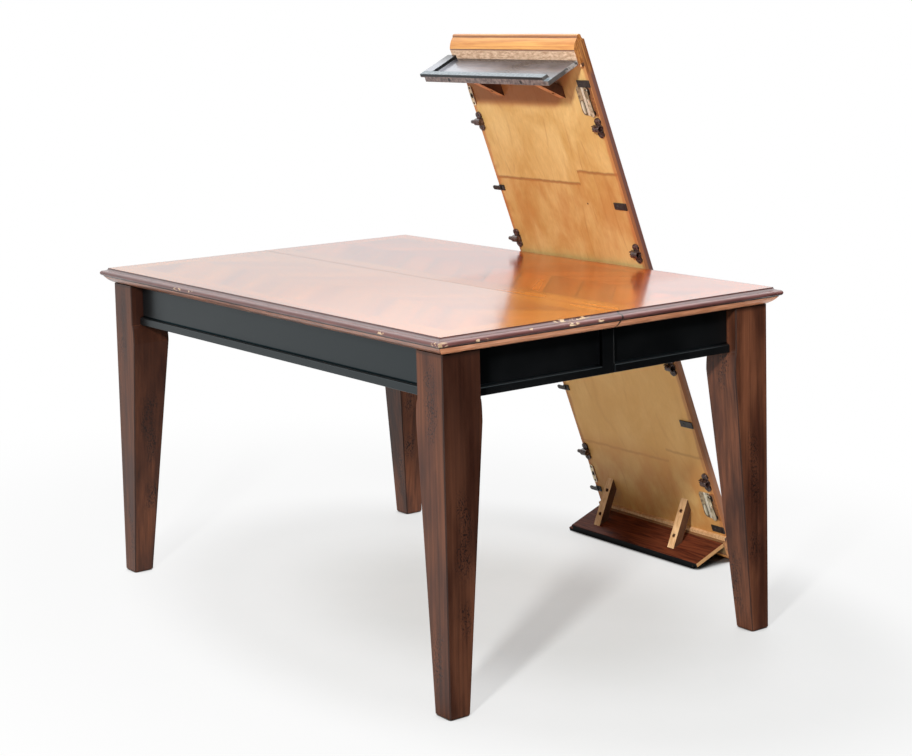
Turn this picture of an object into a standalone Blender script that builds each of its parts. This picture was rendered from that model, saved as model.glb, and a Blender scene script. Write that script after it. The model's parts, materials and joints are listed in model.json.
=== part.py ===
"""Extending dining table, closed, with its loose leaf leaning against the far long side.

X runs across the seam, the way the table pulls apart, Y runs along the seam and Z is up. The near half is on
the -X side and the far half on the +X side; left is +Y and right is -Y. Lengths are in metres and angles in
radians.
"""

from math import acos, cos, hypot, pi, radians, sin, tan

import bmesh
import bpy
from mathutils import Matrix, Vector

# Table and leaf
TABLE_HEIGHT = 0.745
TOP_LENGTH = 1.372
TOP_WIDTH = 0.914
LEAF_WIDTH = 0.457
LEAF_SHIFT = -0.033
PANEL_THICK = 0.020
SEAM_GAP = 0.0006
FIT_GAP = 0.0003

# Edge moulding: a hollow under the flat top, a round nose, a quirk, then a slope that swells on its way back
EDGE_DEPTH = 0.036
NOSE_OUT = 0.016
NOSE_DROP = 0.012
NOSE_RADIUS = 0.0058
TOP_FILLET = 0.001
QUIRK_TURN = radians(54)
SLOPE_START = 0.0062
SLOPE_DROP = 0.0188
SLOPE_BACK = 0.028
SLOPE_SWELL = 0.0022
SLOPE_STEPS = 5
ARC_STEPS = 6

# Legs
LEG_INSET = 0.025
LEG_HEAD_ACROSS = 0.092
LEG_HEAD_ALONG = 0.083
LEG_SHOULDER_ACROSS = 0.095
LEG_SHOULDER_ALONG = 0.089
LEG_FOOT = 0.049
SHOULDER_DROP = 0.045
SHOULDER_STEPS = 6
LEG_EASE = 0.002
FOOT_CHAMFER = 0.003

# Aprons
APRON_DEPTH = 0.095
APRON_THICK = 0.020
APRON_EASE = 0.0008
APRON_RECESS = 0.009
SHORT_APRON_SETBACK = 0.0186
LONG_APRON_SETBACK = 0.022
RAIL_FACE = 0.016
RAIL_SLOPE = 0.004
STILE_SEAT = 0.017
STILE_LAP = 0.015
STILE_CLEAR = 0.001
UPPER_LEAF_APRON_LEAN = 0.11

# Corner blocks
BLOCK_HEIGHT = 0.055
BLOCK_THICK = 0.027
BLOCK_CLEAR = 0.003

# Equaliser slides
SLIDE_FROM_END = 0.346
RAIL_END_CLEAR = 0.030
FIXED_RAIL_LENGTH = 0.660
MIDDLE_RAIL_LENGTH = 0.660
FIXED_RAIL_THICK = 0.020
MIDDLE_RAIL_THICK = 0.022
RAIL_HEIGHT = 0.044
TONGUE_REACH = 0.006
TONGUE_HEIGHT = 0.012
RAIL_GAP = 0.0005
EXTENSION_SPARE = 0.018

# Racks and gears
GEAR_MODULE = 0.002
GEAR_TEETH = 14
PRESSURE_ANGLE = radians(25)
TOOTH_ADDENDUM = 0.0018
TOOTH_DEDENDUM = 0.0023
BACKLASH = 0.0002
FLANK_STEPS = 4
GEAR_THICK = 0.008
RACK_BACK = 0.006
RACK_SPARE = 0.030
PIN_RADIUS = 0.004
PIN_PLAY = 0.0001
PIN_HEAD_RADIUS = 0.007
PIN_HEAD = 0.003
PIN_DEPTH = 0.025

# Leaf bracing
CLEAT_SIDE = 0.008
BRACE_ALONG = 0.090
BRACE_DOWN = 0.086
BRACE_CONTACT = 0.030
BRACE_WIDTH = 0.022
UPPER_BRACE_INSETS = (0.1105, 0.1225)
LOWER_BRACE_INSETS = (0.1145, 0.0715)
SCREW_RADIUS = 0.0052
SCREW_DEPTH = 0.009

# Lever locks and strikes
LOCK_FROM_END = 0.156
LOCK_INSET = 0.0175
LOCK_WIDTH = 0.030
LOCK_AHEAD = 0.034
LOCK_BEHIND = 0.038
PLATE_THICK = 0.002
PIVOT_RADIUS = 0.0025
PIVOT_PLAY = 0.0002
PIVOT_HEAD_RADIUS = 0.0042
PIVOT_HEAD = 0.0012
LEVER_THICK = 0.003
LEVER_HALF_WIDTH = 0.0055
HOOK_FINGER = 0.004
HOOK_PLAY = 0.001
TAIL_LENGTH = 0.040
TAIL_RADIUS = 0.0075
STRIKE_INSET = 0.0085
STRIKE_WIDTH = 0.014
STRIKE_LENGTH = 0.052
STRIKE_STUD_RADIUS = 0.002

ROUND_STEPS = 32
SMALL_ROUND_STEPS = 20

# Places that follow from the sizes
EDGE_UNDERSIDE = TABLE_HEIGHT - EDGE_DEPTH
PANEL_UNDERSIDE = TABLE_HEIGHT - PANEL_THICK
APRON_TOP = EDGE_UNDERSIDE - FIT_GAP
APRON_BOTTOM = APRON_TOP - APRON_DEPTH
SHORT_APRON_INSET = LEG_INSET + SHORT_APRON_SETBACK
LONG_APRON_INSET = LEG_INSET + LONG_APRON_SETBACK
STRIP_WIDTH = SHORT_APRON_INSET + APRON_THICK
RAIL_TOP = PANEL_UNDERSIDE - FIT_GAP
RAIL_BOTTOM = RAIL_TOP - RAIL_HEIGHT
SLIDE_OFFSET = TOP_LENGTH / 2 - SLIDE_FROM_END
FIXED_RAIL_OUT = TOP_WIDTH / 2 - LONG_APRON_INSET - APRON_THICK - RAIL_END_CLEAR
FIXED_RAIL_IN = FIXED_RAIL_LENGTH - FIXED_RAIL_OUT
EXTENSION = LEAF_WIDTH + EXTENSION_SPARE
LOCK_OFFSET = TOP_LENGTH / 2 - LOCK_FROM_END
GEAR_RADIUS = GEAR_MODULE * GEAR_TEETH / 2
TOOTH_PITCH = pi * GEAR_MODULE
HOOK_REACH = LOCK_INSET + SEAM_GAP + STRIKE_INSET

FAR, NEAR = 1, -1
LEFT, RIGHT = 1, -1
UPPER, LOWER = 1, -1
SIDES = (("far", FAR), ("near", NEAR))
HANDS = (("left", LEFT), ("right", RIGHT))
ENDS = (("upper", UPPER), ("lower", LOWER))
AT_LEG, LAPS, CUT_BACK = "at_leg", "laps", "cut_back"


# Scene, materials and solids

def clear_scene():
    """Start from an empty scene."""
    for obj in list(bpy.data.objects):
        bpy.data.objects.remove(obj)


def make_material(name, colour, roughness, metallic=0.0):
    """A plain principled material."""
    made = bpy.data.materials.new(name)
    made.use_nodes = True
    shader = made.node_tree.nodes["Principled BSDF"]
    shader.inputs["Base Color"].default_value = (*colour, 1.0)
    shader.inputs["Roughness"].default_value = roughness
    shader.inputs["Metallic"].default_value = metallic
    return made


def make_materials():
    """The finishes of the table, by name."""
    return {
        "veneer": make_material("honey_veneer", (0.50, 0.20, 0.06), 0.22),
        "moulding": make_material("dark_moulding", (0.13, 0.04, 0.025), 0.30),
        "leg": make_material("leg_stain", (0.085, 0.032, 0.018), 0.40),
        "apron": make_material("black_lacquer", (0.012, 0.013, 0.014), 0.35),
        "ply": make_material("raw_ply", (0.60, 0.34, 0.13), 0.65),
        "trim": make_material("leaf_trim", (0.58, 0.25, 0.07), 0.45),
        "hardwood": make_material("slide_hardwood", (0.52, 0.33, 0.17), 0.60),
        "brass": make_material("plated_brass", (0.62, 0.50, 0.28), 0.30, 1.0),
        "steel": make_material("plain_steel", (0.45, 0.45, 0.44), 0.35, 1.0),
        "nylon": make_material("gear_nylon", (0.75, 0.73, 0.68), 0.45),
    }


def make_empty(name, matrix):
    """An empty that carries a group of pieces."""
    empty = bpy.data.objects.new(name, None)
    empty.matrix_world = matrix
    bpy.context.scene.collection.objects.link(empty)
    return empty


def skin(name, rings):
    """A mesh through a row of rings with equally many points, closed at both ends."""
    bm = bmesh.new()
    loops = [[bm.verts.new(point) for point in ring] for ring in rings]
    for lower, upper in zip(loops, loops[1:]):
        for index in range(len(lower)):
            after = (index + 1) % len(lower)
            bm.faces.new((lower[index], lower[after], upper[after], upper[index]))
    bm.faces.new(tuple(reversed(loops[0])))
    bm.faces.new(tuple(loops[-1]))
    bmesh.ops.recalc_face_normals(bm, faces=bm.faces[:])
    mesh = bpy.data.meshes.new(name)
    bm.to_mesh(mesh)
    bm.free()
    return mesh


def add_piece(name, rings, finish, parent, location=(0.0, 0.0, 0.0)):
    """One sub-part, placed by its location under its parent."""
    piece = bpy.data.objects.new(name, skin(name, rings))
    piece.data.materials.append(finish)
    piece.parent = parent
    piece.location = location
    bpy.context.scene.collection.objects.link(piece)
    return piece


def ease_edges(piece, width):
    """Take the sharpness off a piece's edges."""
    bevel = piece.modifiers.new("eased_edges", "BEVEL")
    bevel.width = width
    bevel.segments = 1
    bevel.limit_method = "ANGLE"


def smooth(piece):
    """Shade a round piece smooth up to its sharp edges."""
    piece.data.shade_smooth()
    piece.data.set_sharp_from_angle(angle=radians(35))


def combine(piece, rings, operation):
    """Cut a shape out of a piece, or join one to it, in the piece's own coordinates."""
    tool_name = f"{piece.name}_tool_{len(piece.modifiers)}"
    tool = bpy.data.objects.new(tool_name, skin(tool_name, rings))
    tool.parent = piece.parent
    tool.matrix_basis = piece.matrix_basis
    tool.hide_render = True
    tool.display_type = "WIRE"
    bpy.context.scene.collection.objects.link(tool)
    boolean = piece.modifiers.new(operation.lower(), "BOOLEAN")
    boolean.operation = operation
    boolean.object = tool


# Outlines

def rectangle(low_x, high_x, low_y, high_y):
    """Corners of a rectangle, anticlockwise."""
    return [(low_x, low_y), (high_x, low_y), (high_x, high_y), (low_x, high_y)]


def arc(centre, radius, start, end, steps):
    """Points along an arc, both ends included."""
    angles = [start + (end - start) * step / steps for step in range(steps + 1)]
    return [(centre[0] + radius * cos(angle), centre[1] + radius * sin(angle)) for angle in angles]


def circle(radius, steps):
    """Points round a circle about the origin."""
    angles = [2 * pi * step / steps for step in range(steps)]
    return [(radius * cos(angle), radius * sin(angle)) for angle in angles]


def at_height(outline, height):
    """An outline in X and Y, set at a height."""
    return [(x, y, height) for x, y in outline]


def along_x(outline, x):
    """An outline in Y and Z, set at a place along X."""
    return [(x, y, z) for y, z in outline]


def box(low_x, high_x, low_y, high_y, low_z, high_z):
    """The two rings of a box."""
    outline = rectangle(low_x, high_x, low_y, high_y)
    return [at_height(outline, low_z), at_height(outline, high_z)]


def turned(profile, steps):
    """Rings of a turned piece about Z, from pairs of radius and height."""
    return [at_height(circle(radius, steps), height) for radius, height in profile]


# Table top

def slope_points():
    """The swelling slope under the nose: inset from the nose, and depth below the top."""
    back = SLOPE_BACK - SLOPE_START
    down = EDGE_DEPTH - SLOPE_DROP
    length = hypot(back, down)
    points = []
    for step in range(SLOPE_STEPS + 1):
        share = step / SLOPE_STEPS
        swell = SLOPE_SWELL * sin(share * pi) / length
        points.append((SLOPE_START + back * share - down * swell, SLOPE_DROP + down * share + back * swell))
    return points


def edge_section():
    """The moulding's section: inset from the nose, and depth below the top, with a rabbet for the panel."""
    nose_top = NOSE_DROP - NOSE_RADIUS
    hollow_out = NOSE_OUT - TOP_FILLET - NOSE_RADIUS
    hollow_down = nose_top - TOP_FILLET
    section = [(NOSE_OUT, 0.0), (NOSE_OUT - TOP_FILLET, 0.0)]
    for step in range(ARC_STEPS + 1):
        angle = pi / 2 * step / ARC_STEPS
        section.append((NOSE_RADIUS + hollow_out * cos(angle), TOP_FILLET + hollow_down * sin(angle)))
    section += arc((NOSE_RADIUS, NOSE_DROP), NOSE_RADIUS, 1.5 * pi, QUIRK_TURN, 2 * ARC_STEPS)[1:]
    section += slope_points()
    section.append((STRIP_WIDTH, EDGE_DEPTH))
    section.append((STRIP_WIDTH, PANEL_THICK + FIT_GAP))
    section.append((NOSE_OUT, PANEL_THICK + FIT_GAP))
    return section


def add_half_top(table, finishes, side_name, side):
    """The veneered panel of one half."""
    reach = TOP_WIDTH / 2 - NOSE_OUT - FIT_GAP
    half_length = TOP_LENGTH / 2 - NOSE_OUT - FIT_GAP
    near_edge, far_edge = sorted((side * SEAM_GAP / 2, side * reach))
    rings = box(near_edge, far_edge, -half_length, half_length, -PANEL_THICK, 0.0)
    add_piece(f"{side_name}_top", rings, finishes["veneer"], table, (0.0, 0.0, TABLE_HEIGHT))


def add_long_moulding(table, finishes, side_name, side):
    """The moulding along a long side, mitred at both ends."""
    rings = []
    for hand in (LEFT, RIGHT):
        ring = []
        for inset, depth in edge_section():
            ring.append((-side * inset, hand * (TOP_LENGTH / 2 - inset - FIT_GAP), -depth))
        rings.append(ring)
    nose = (side * TOP_WIDTH / 2, 0.0, TABLE_HEIGHT)
    smooth(add_piece(f"{side_name}_long_moulding", rings, finishes["moulding"], table, nose))


def add_short_moulding(table, finishes, side_name, side, hand_name, hand):
    """The moulding of one half's short side, mitred at the corner and square at the seam."""
    mitred = []
    square = []
    for inset, depth in edge_section():
        mitred.append((side * (TOP_WIDTH / 2 - inset - FIT_GAP), -hand * inset, -depth))
        square.append((side * SEAM_GAP / 2, -hand * inset, -depth))
    nose = (0.0, hand * TOP_LENGTH / 2, TABLE_HEIGHT)
    name = f"{side_name}_{hand_name}_moulding"
    smooth(add_piece(name, [mitred, square], finishes["moulding"], table, nose))


# Legs and aprons

def leg_ring(low, across, along, height, side, hand):
    """An eased section of a leg, measured inwards from its outer corner."""
    ease = LEG_EASE
    outline = [
        (low + ease, low), (across - ease, low), (across, low + ease), (across, along - ease),
        (across - ease, along), (low + ease, along), (low, along - ease), (low, low + ease),
    ]
    return [(-side * x, -hand * y, height) for x, y in outline]


def add_leg(table, finishes, side_name, side, hand_name, hand):
    """A leg with plumb outer faces; its inner faces swell below the apron and taper to the foot."""
    sole = LEG_FOOT - FOOT_CHAMFER
    rings = [
        leg_ring(FOOT_CHAMFER, sole, sole, 0.0, side, hand),
        leg_ring(0.0, LEG_FOOT, LEG_FOOT, FOOT_CHAMFER, side, hand),
    ]
    for step in range(SHOULDER_STEPS + 1):
        share = step / SHOULDER_STEPS
        swell = cos(share * pi / 2)
        across = LEG_HEAD_ACROSS + (LEG_SHOULDER_ACROSS - LEG_HEAD_ACROSS) * swell
        along = LEG_HEAD_ALONG + (LEG_SHOULDER_ALONG - LEG_HEAD_ALONG) * swell
        height = APRON_BOTTOM - SHOULDER_DROP + SHOULDER_DROP * sin(share * pi / 2)
        rings.append(leg_ring(0.0, across, along, height, side, hand))
    rings.append(leg_ring(0.0, LEG_HEAD_ACROSS, LEG_HEAD_ALONG, APRON_TOP, side, hand))
    corner = (side * (TOP_WIDTH / 2 - LEG_INSET), hand * (TOP_LENGTH / 2 - LEG_INSET), 0.0)
    add_piece(f"{side_name}_{hand_name}_leg", rings, finishes["leg"], table, corner)


def recess_outline(length, start, end, rail_top):
    """Outline in X and Z of what is carved off an apron's face, above its rail and past a cut-back end."""
    top = APRON_RECESS
    bottom = -APRON_DEPTH - APRON_RECESS
    cut_back = STILE_LAP + STILE_CLEAR
    outline = []
    for state, edge, inward in ((start, 0.0, 1), (end, length, -1)):
        outer = edge + inward * STILE_SEAT if state == LAPS else edge - inward * APRON_RECESS
        corner = [(outer, top), (outer, rail_top)]
        if state == CUT_BACK:
            inner = edge + inward * cut_back
            corner = [(outer, top), (outer, bottom), (inner, bottom), (inner, rail_top)]
        outline += corner if inward == 1 else reversed(corner)
    return outline


def leaning(rings, lean):
    """Rings that lean inwards, towards +Y, the further they are below Z = 0."""
    return [[(x, y - lean * z, z) for x, y, z in ring] for ring in rings]


def add_apron(name, parent, finish, matrix, length, start, end, lean=0.0):
    """A board carved to leave a raised bottom rail, and a raised stile where it meets a seam.

    The board runs along its own X from 0 to length; its outer side faces -Y and its top is at Z = 0. Each end
    is one of three: against a leg, with a stile that laps over the seam, or cut back for such a stile.
    """
    low = -STILE_LAP if start == LAPS else 0.0
    high = length + STILE_LAP if end == LAPS else length
    board = box(low, high, 0.0, APRON_THICK, -APRON_DEPTH, 0.0)
    apron = add_piece(name, leaning(board, lean), finish, parent)
    apron.matrix_basis = matrix
    rail_top = RAIL_FACE - APRON_DEPTH
    rings = []
    for y, rise in ((-APRON_RECESS, 0.0), (0.0, 0.0), (APRON_RECESS, RAIL_SLOPE)):
        rings.append([(x, y, z) for x, z in recess_outline(length, start, end, rail_top + rise)])
    combine(apron, leaning(rings, lean), "DIFFERENCE")
    spill = APRON_RECESS
    for state, edge, outward in ((start, 0.0, -1), (end, length, 1)):
        if state == LAPS:
            low_x, high_x = sorted((edge, edge + outward * (STILE_LAP + spill)))
            behind_lap = APRON_RECESS - FIT_GAP
            rings = box(low_x, high_x, behind_lap, APRON_THICK + spill, -APRON_DEPTH - spill, spill)
            combine(apron, leaning(rings, lean), "DIFFERENCE")
    ease_edges(apron, APRON_EASE)


def frame_matrix(x_axis, y_axis, origin):
    """A placement from two axes and an origin; its third axis follows."""
    first = Vector(x_axis)
    second = Vector(y_axis)
    third = first.cross(second)
    matrix = Matrix((first, second, third)).transposed().to_4x4()
    matrix.translation = origin
    return matrix


def add_long_apron(table, finishes, side_name, side):
    """The apron between the two legs of one half."""
    half_length = TOP_LENGTH / 2 - LEG_INSET - LEG_HEAD_ALONG - FIT_GAP
    face = side * (TOP_WIDTH / 2 - LONG_APRON_INSET)
    matrix = frame_matrix((0, side, 0), (-side, 0, 0), (face, -side * half_length, APRON_TOP))
    add_apron(f"{side_name}_long_apron", table, finishes["apron"], matrix, 2 * half_length, AT_LEG, AT_LEG)


def add_short_apron(table, finishes, side_name, side, hand_name, hand):
    """The apron from a leg to the seam; the near half's stile laps over the far half's board."""
    leg_end = TOP_WIDTH / 2 - LEG_INSET - LEG_HEAD_ACROSS - FIT_GAP
    length = leg_end - SEAM_GAP / 2
    face = hand * (TOP_LENGTH / 2 - SHORT_APRON_INSET)
    at_seam = LAPS if side == NEAR else CUT_BACK
    runs_to_seam = side * hand == 1
    start = side * leg_end if runs_to_seam else side * SEAM_GAP / 2
    matrix = frame_matrix((-hand, 0, 0), (0, -hand, 0), (start, face, APRON_TOP))
    ends = (AT_LEG, at_seam) if runs_to_seam else (at_seam, AT_LEG)
    add_apron(f"{side_name}_{hand_name}_apron", table, finishes["apron"], matrix, length, *ends)


def add_corner_block(table, finishes, side_name, side, hand_name, hand):
    """A block across the corner behind a leg, glued to both aprons."""
    long_face = LONG_APRON_INSET + APRON_THICK + FIT_GAP
    short_face = SHORT_APRON_INSET + APRON_THICK + FIT_GAP
    front = 2 * LEG_INSET + LEG_HEAD_ACROSS + LEG_HEAD_ALONG + BLOCK_CLEAR * hypot(1, 1)
    back = front + BLOCK_THICK * hypot(1, 1)
    outline = [
        (long_face, front - long_face), (front - short_face, short_face),
        (back - short_face, short_face), (long_face, back - long_face),
    ]
    placed = [(-side * x, -hand * y) for x, y in outline]
    rings = [at_height(placed, -BLOCK_HEIGHT), at_height(placed, 0.0)]
    corner = (side * TOP_WIDTH / 2, hand * TOP_LENGTH / 2, APRON_TOP)
    add_piece(f"{side_name}_{hand_name}_corner_block", rings, finishes["hardwood"], table, corner)


# Equaliser slides

def fixed_rail_section(outward):
    """Section in Y and Z of a rail that is screwed to a half top, grooved for the middle rail's tongue."""
    inner = MIDDLE_RAIL_THICK / 2 + RAIL_GAP
    outer = inner + FIXED_RAIL_THICK
    groove = MIDDLE_RAIL_THICK / 2 + TONGUE_REACH + RAIL_GAP
    middle = -RAIL_HEIGHT / 2
    slot = TONGUE_HEIGHT / 2 + RAIL_GAP
    section = [
        (inner, 0.0), (outer, 0.0), (outer, -RAIL_HEIGHT), (inner, -RAIL_HEIGHT),
        (inner, middle - slot), (groove, middle - slot), (groove, middle + slot), (inner, middle + slot),
    ]
    return [(outward * y, z) for y, z in section]


def middle_rail_section():
    """Section in Y and Z of the middle rail, with a tongue on each side."""
    half = MIDDLE_RAIL_THICK / 2
    tongue = half + TONGUE_REACH
    middle = -RAIL_HEIGHT / 2
    reach = TONGUE_HEIGHT / 2
    right = [
        (half, -RAIL_GAP), (half, middle + reach), (tongue, middle + reach),
        (tongue, middle - reach), (half, middle - reach), (half, -RAIL_HEIGHT),
    ]
    return right + [(-y, z) for y, z in reversed(right)]


def rack_outline(first_tooth, last_tooth, outward):
    """Outline in X and Y of a rack whose teeth face the gear; the teeth stand half a pitch off the gear."""
    half_tooth = TOOTH_PITCH / 4 - BACKLASH / 2
    tip = GEAR_RADIUS - TOOTH_ADDENDUM
    root = GEAR_RADIUS + TOOTH_DEDENDUM
    tip_half = half_tooth - TOOTH_ADDENDUM * tan(PRESSURE_ANGLE)
    root_half = half_tooth + TOOTH_DEDENDUM * tan(PRESSURE_ANGLE)
    outline = [(first_tooth * TOOTH_PITCH, root + RACK_BACK), (first_tooth * TOOTH_PITCH, root)]
    for tooth in range(first_tooth, last_tooth):
        centre = (tooth + 0.5) * TOOTH_PITCH
        outline.append((centre - root_half, root))
        outline.append((centre - tip_half, tip))
        outline.append((centre + tip_half, tip))
        outline.append((centre + root_half, root))
    outline.append((last_tooth * TOOTH_PITCH, root))
    outline.append((last_tooth * TOOTH_PITCH, root + RACK_BACK))
    return [(x, outward * y) for x, y in outline]


def gear_outline():
    """Outline of the gear with involute flanks; one tooth points to each rack."""
    base = GEAR_RADIUS * cos(PRESSURE_ANGLE)
    tip = GEAR_RADIUS + TOOTH_ADDENDUM
    root = GEAR_RADIUS - TOOTH_DEDENDUM
    half_pitch = pi / (2 * GEAR_TEETH) - BACKLASH / (2 * GEAR_RADIUS)
    flank = []
    for step in range(FLANK_STEPS + 1):
        radius = base + (tip - base) * step / FLANK_STEPS
        slant = acos(base / radius)
        turn = half_pitch + (tan(PRESSURE_ANGLE) - PRESSURE_ANGLE) - (tan(slant) - slant)
        flank.append((radius, turn))
    flank.insert(0, (root, flank[0][1]))
    outline = []
    for tooth in range(GEAR_TEETH):
        centre = pi / 2 + 2 * pi * tooth / GEAR_TEETH
        polar = [(radius, centre - turn) for radius, turn in flank]
        polar += [(radius, centre + turn) for radius, turn in reversed(flank)]
        outline += [(radius * cos(angle), radius * sin(angle)) for radius, angle in polar]
    return outline


def add_slide(table, finishes, hand_name, hand):
    """One equaliser slide: far rail on the outer side, near rail inside it, gear between two racks."""
    hardwood = finishes["hardwood"]
    top = (0.0, hand * SLIDE_OFFSET, RAIL_TOP)
    gear_travel = EXTENSION / 2
    for side_name, side in SIDES:
        section = fixed_rail_section(side * hand)
        reaches = (-side * FIXED_RAIL_IN, side * FIXED_RAIL_OUT)
        rings = [along_x(section, x) for x in reaches]
        add_piece(f"{hand_name}_{side_name}_rail", rings, hardwood, table, top)
        behind = int(RACK_SPARE / TOOTH_PITCH) + 1
        ahead = int((gear_travel + RACK_SPARE) / TOOTH_PITCH) + 1
        first, last = (-ahead, behind) if side == FAR else (-behind, ahead)
        outline = rack_outline(first, last, side * hand)
        seat = -RAIL_HEIGHT - FIT_GAP
        rings = [at_height(outline, seat - GEAR_THICK), at_height(outline, seat)]
        add_piece(f"{hand_name}_{side_name}_rack", rings, finishes["nylon"], table, top)

    half_rail = MIDDLE_RAIL_LENGTH / 2
    rings = [along_x(middle_rail_section(), x) for x in (-half_rail, half_rail)]
    middle = add_piece(f"{hand_name}_middle_rail", rings, hardwood, table, top)
    bore_radius = PIN_RADIUS + FIT_GAP
    bore = [(bore_radius, -RAIL_HEIGHT - PIN_HEAD), (bore_radius, -RAIL_HEIGHT + PIN_DEPTH)]
    combine(middle, turned(bore, ROUND_STEPS), "DIFFERENCE")

    gear_top = -RAIL_HEIGHT - FIT_GAP
    gear_bottom = gear_top - GEAR_THICK
    rings = [at_height(gear_outline(), gear_bottom), at_height(gear_outline(), gear_top)]
    gear = add_piece(f"{hand_name}_gear", rings, finishes["nylon"], table, top)
    bore_radius = PIN_RADIUS + PIN_PLAY
    bore = [(bore_radius, gear_bottom - PIN_HEAD), (bore_radius, gear_top + PIN_HEAD)]
    combine(gear, turned(bore, ROUND_STEPS), "DIFFERENCE")

    head_top = gear_bottom - FIT_GAP
    profile = [
        (PIN_HEAD_RADIUS, head_top - PIN_HEAD), (PIN_HEAD_RADIUS, head_top),
        (PIN_RADIUS, head_top), (PIN_RADIUS, -RAIL_HEIGHT + PIN_DEPTH - FIT_GAP),
    ]
    smooth(add_piece(f"{hand_name}_gear_pin", turned(profile, ROUND_STEPS), finishes["steel"], table, top))


# Lever locks

def lever_outline():
    """Outline of a lock lever about its pivot: hook arm along +Y, thumb tail along -Y, mouth open to -X."""
    half = LEVER_HALF_WIDTH
    mouth_low = HOOK_REACH - STRIKE_STUD_RADIUS - HOOK_PLAY
    mouth_high = HOOK_REACH + STRIKE_STUD_RADIUS + HOOK_PLAY / 2
    mouth_depth = STRIKE_STUD_RADIUS + HOOK_PLAY / 2
    tip = mouth_high + HOOK_FINGER
    neck = -PIVOT_HEAD_RADIUS
    outline = arc((0.0, -TAIL_LENGTH + TAIL_RADIUS), TAIL_RADIUS, pi, 2 * pi, ARC_STEPS)
    outline += [(half, neck), (half, tip - half / 2), (half / 2, tip), (-half / 2, tip)]
    outline += [(-half, tip - half / 2), (-half, mouth_high), (mouth_depth, mouth_high)]
    outline += [(mouth_depth, mouth_low), (-half, mouth_low), (-half, neck)]
    return outline


def add_lock(prefix, parent, finishes, edge_x, y, underside):
    """A lock plate under an edge that faces -X, and the lever that turns on its rivet."""
    pivot = (edge_x + LOCK_INSET, y, underside)
    plate_top = -FIT_GAP
    plate_bottom = plate_top - PLATE_THICK
    lever_top = plate_bottom - FIT_GAP
    lever_bottom = lever_top - LEVER_THICK
    head_top = lever_bottom - FIT_GAP
    half = LOCK_WIDTH / 2
    rings = box(-half, half, -LOCK_BEHIND, LOCK_AHEAD, plate_bottom, plate_top)
    plate = add_piece(f"{prefix}_lock_plate", rings, finishes["brass"], parent, pivot)
    rivet = [
        (PIVOT_HEAD_RADIUS, head_top - PIVOT_HEAD), (PIVOT_HEAD_RADIUS, head_top),
        (PIVOT_RADIUS, head_top), (PIVOT_RADIUS, plate_top - PLATE_THICK / 2),
    ]
    combine(plate, turned(rivet, SMALL_ROUND_STEPS), "UNION")
    outline = lever_outline()
    rings = [at_height(outline, lever_bottom), at_height(outline, lever_top)]
    lever = add_piece(f"{prefix}_lock_lever", rings, finishes["steel"], parent, pivot)
    hole_radius = PIVOT_RADIUS + PIVOT_PLAY
    hole = [(hole_radius, lever_bottom - PIVOT_HEAD), (hole_radius, lever_top + PLATE_THICK)]
    combine(lever, turned(hole, SMALL_ROUND_STEPS), "DIFFERENCE")


def add_strike(name, parent, finishes, edge_x, y, underside):
    """A slim strike plate under an edge that faces +X, with the stud that a lever hooks."""
    centre = (edge_x - STRIKE_INSET, y, underside)
    half = STRIKE_WIDTH / 2
    straight = STRIKE_LENGTH / 2 - half
    outline = arc((0.0, -straight), half, pi, 2 * pi, ARC_STEPS)
    outline += arc((0.0, straight), half, 0.0, pi, ARC_STEPS)
    plate_top = -FIT_GAP
    plate_bottom = plate_top - PLATE_THICK
    rings = [at_height(outline, plate_bottom), at_height(outline, plate_top)]
    strike = add_piece(name, rings, finishes["brass"], parent, centre)
    stud_bottom = plate_bottom - FIT_GAP - LEVER_THICK
    stud = [(STRIKE_STUD_RADIUS, stud_bottom), (STRIKE_STUD_RADIUS, plate_top - PLATE_THICK / 2)]
    combine(strike, turned(stud, SMALL_ROUND_STEPS), "UNION")


# Leaf, built flat with its top at Z = 0 and its length along Y

def leaf_apron_lean(end):
    """How far a leaf apron leans out of square; the upper one has sagged."""
    return UPPER_LEAF_APRON_LEAN if end == UPPER else 0.0


def add_leaf_end(leaf, finishes, end_name, end):
    """Moulding, apron and cleat at one end of the leaf."""
    half_width = LEAF_WIDTH / 2 - SEAM_GAP / 2
    nose = (0.0, end * TOP_LENGTH / 2, 0.0)
    section = edge_section()
    rings = [[(x, -end * inset, -depth) for inset, depth in section] for x in (-half_width, half_width)]
    smooth(add_piece(f"leaf_{end_name}_moulding", rings, finishes["trim"], leaf, nose))

    face = end * (TOP_LENGTH / 2 - SHORT_APRON_INSET)
    apron_top = -EDGE_DEPTH - FIT_GAP
    matrix = frame_matrix((-end, 0, 0), (0, -end, 0), (end * half_width, face, apron_top))
    ends = (LAPS, CUT_BACK) if end == UPPER else (CUT_BACK, LAPS)
    name = f"leaf_{end_name}_apron"
    add_apron(name, leaf, finishes["apron"], matrix, 2 * half_width, *ends, lean=leaf_apron_lean(end))

    inner_face = end * (TOP_LENGTH / 2 - STRIP_WIDTH - FIT_GAP)
    underside = -PANEL_THICK - FIT_GAP
    low_y, high_y = sorted((0.0, -end * CLEAT_SIDE))
    rings = box(-half_width, half_width, low_y, high_y, -CLEAT_SIDE, 0.0)
    add_piece(f"leaf_{end_name}_cleat", rings, finishes["ply"], leaf, (0.0, inner_face, underside))


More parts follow.
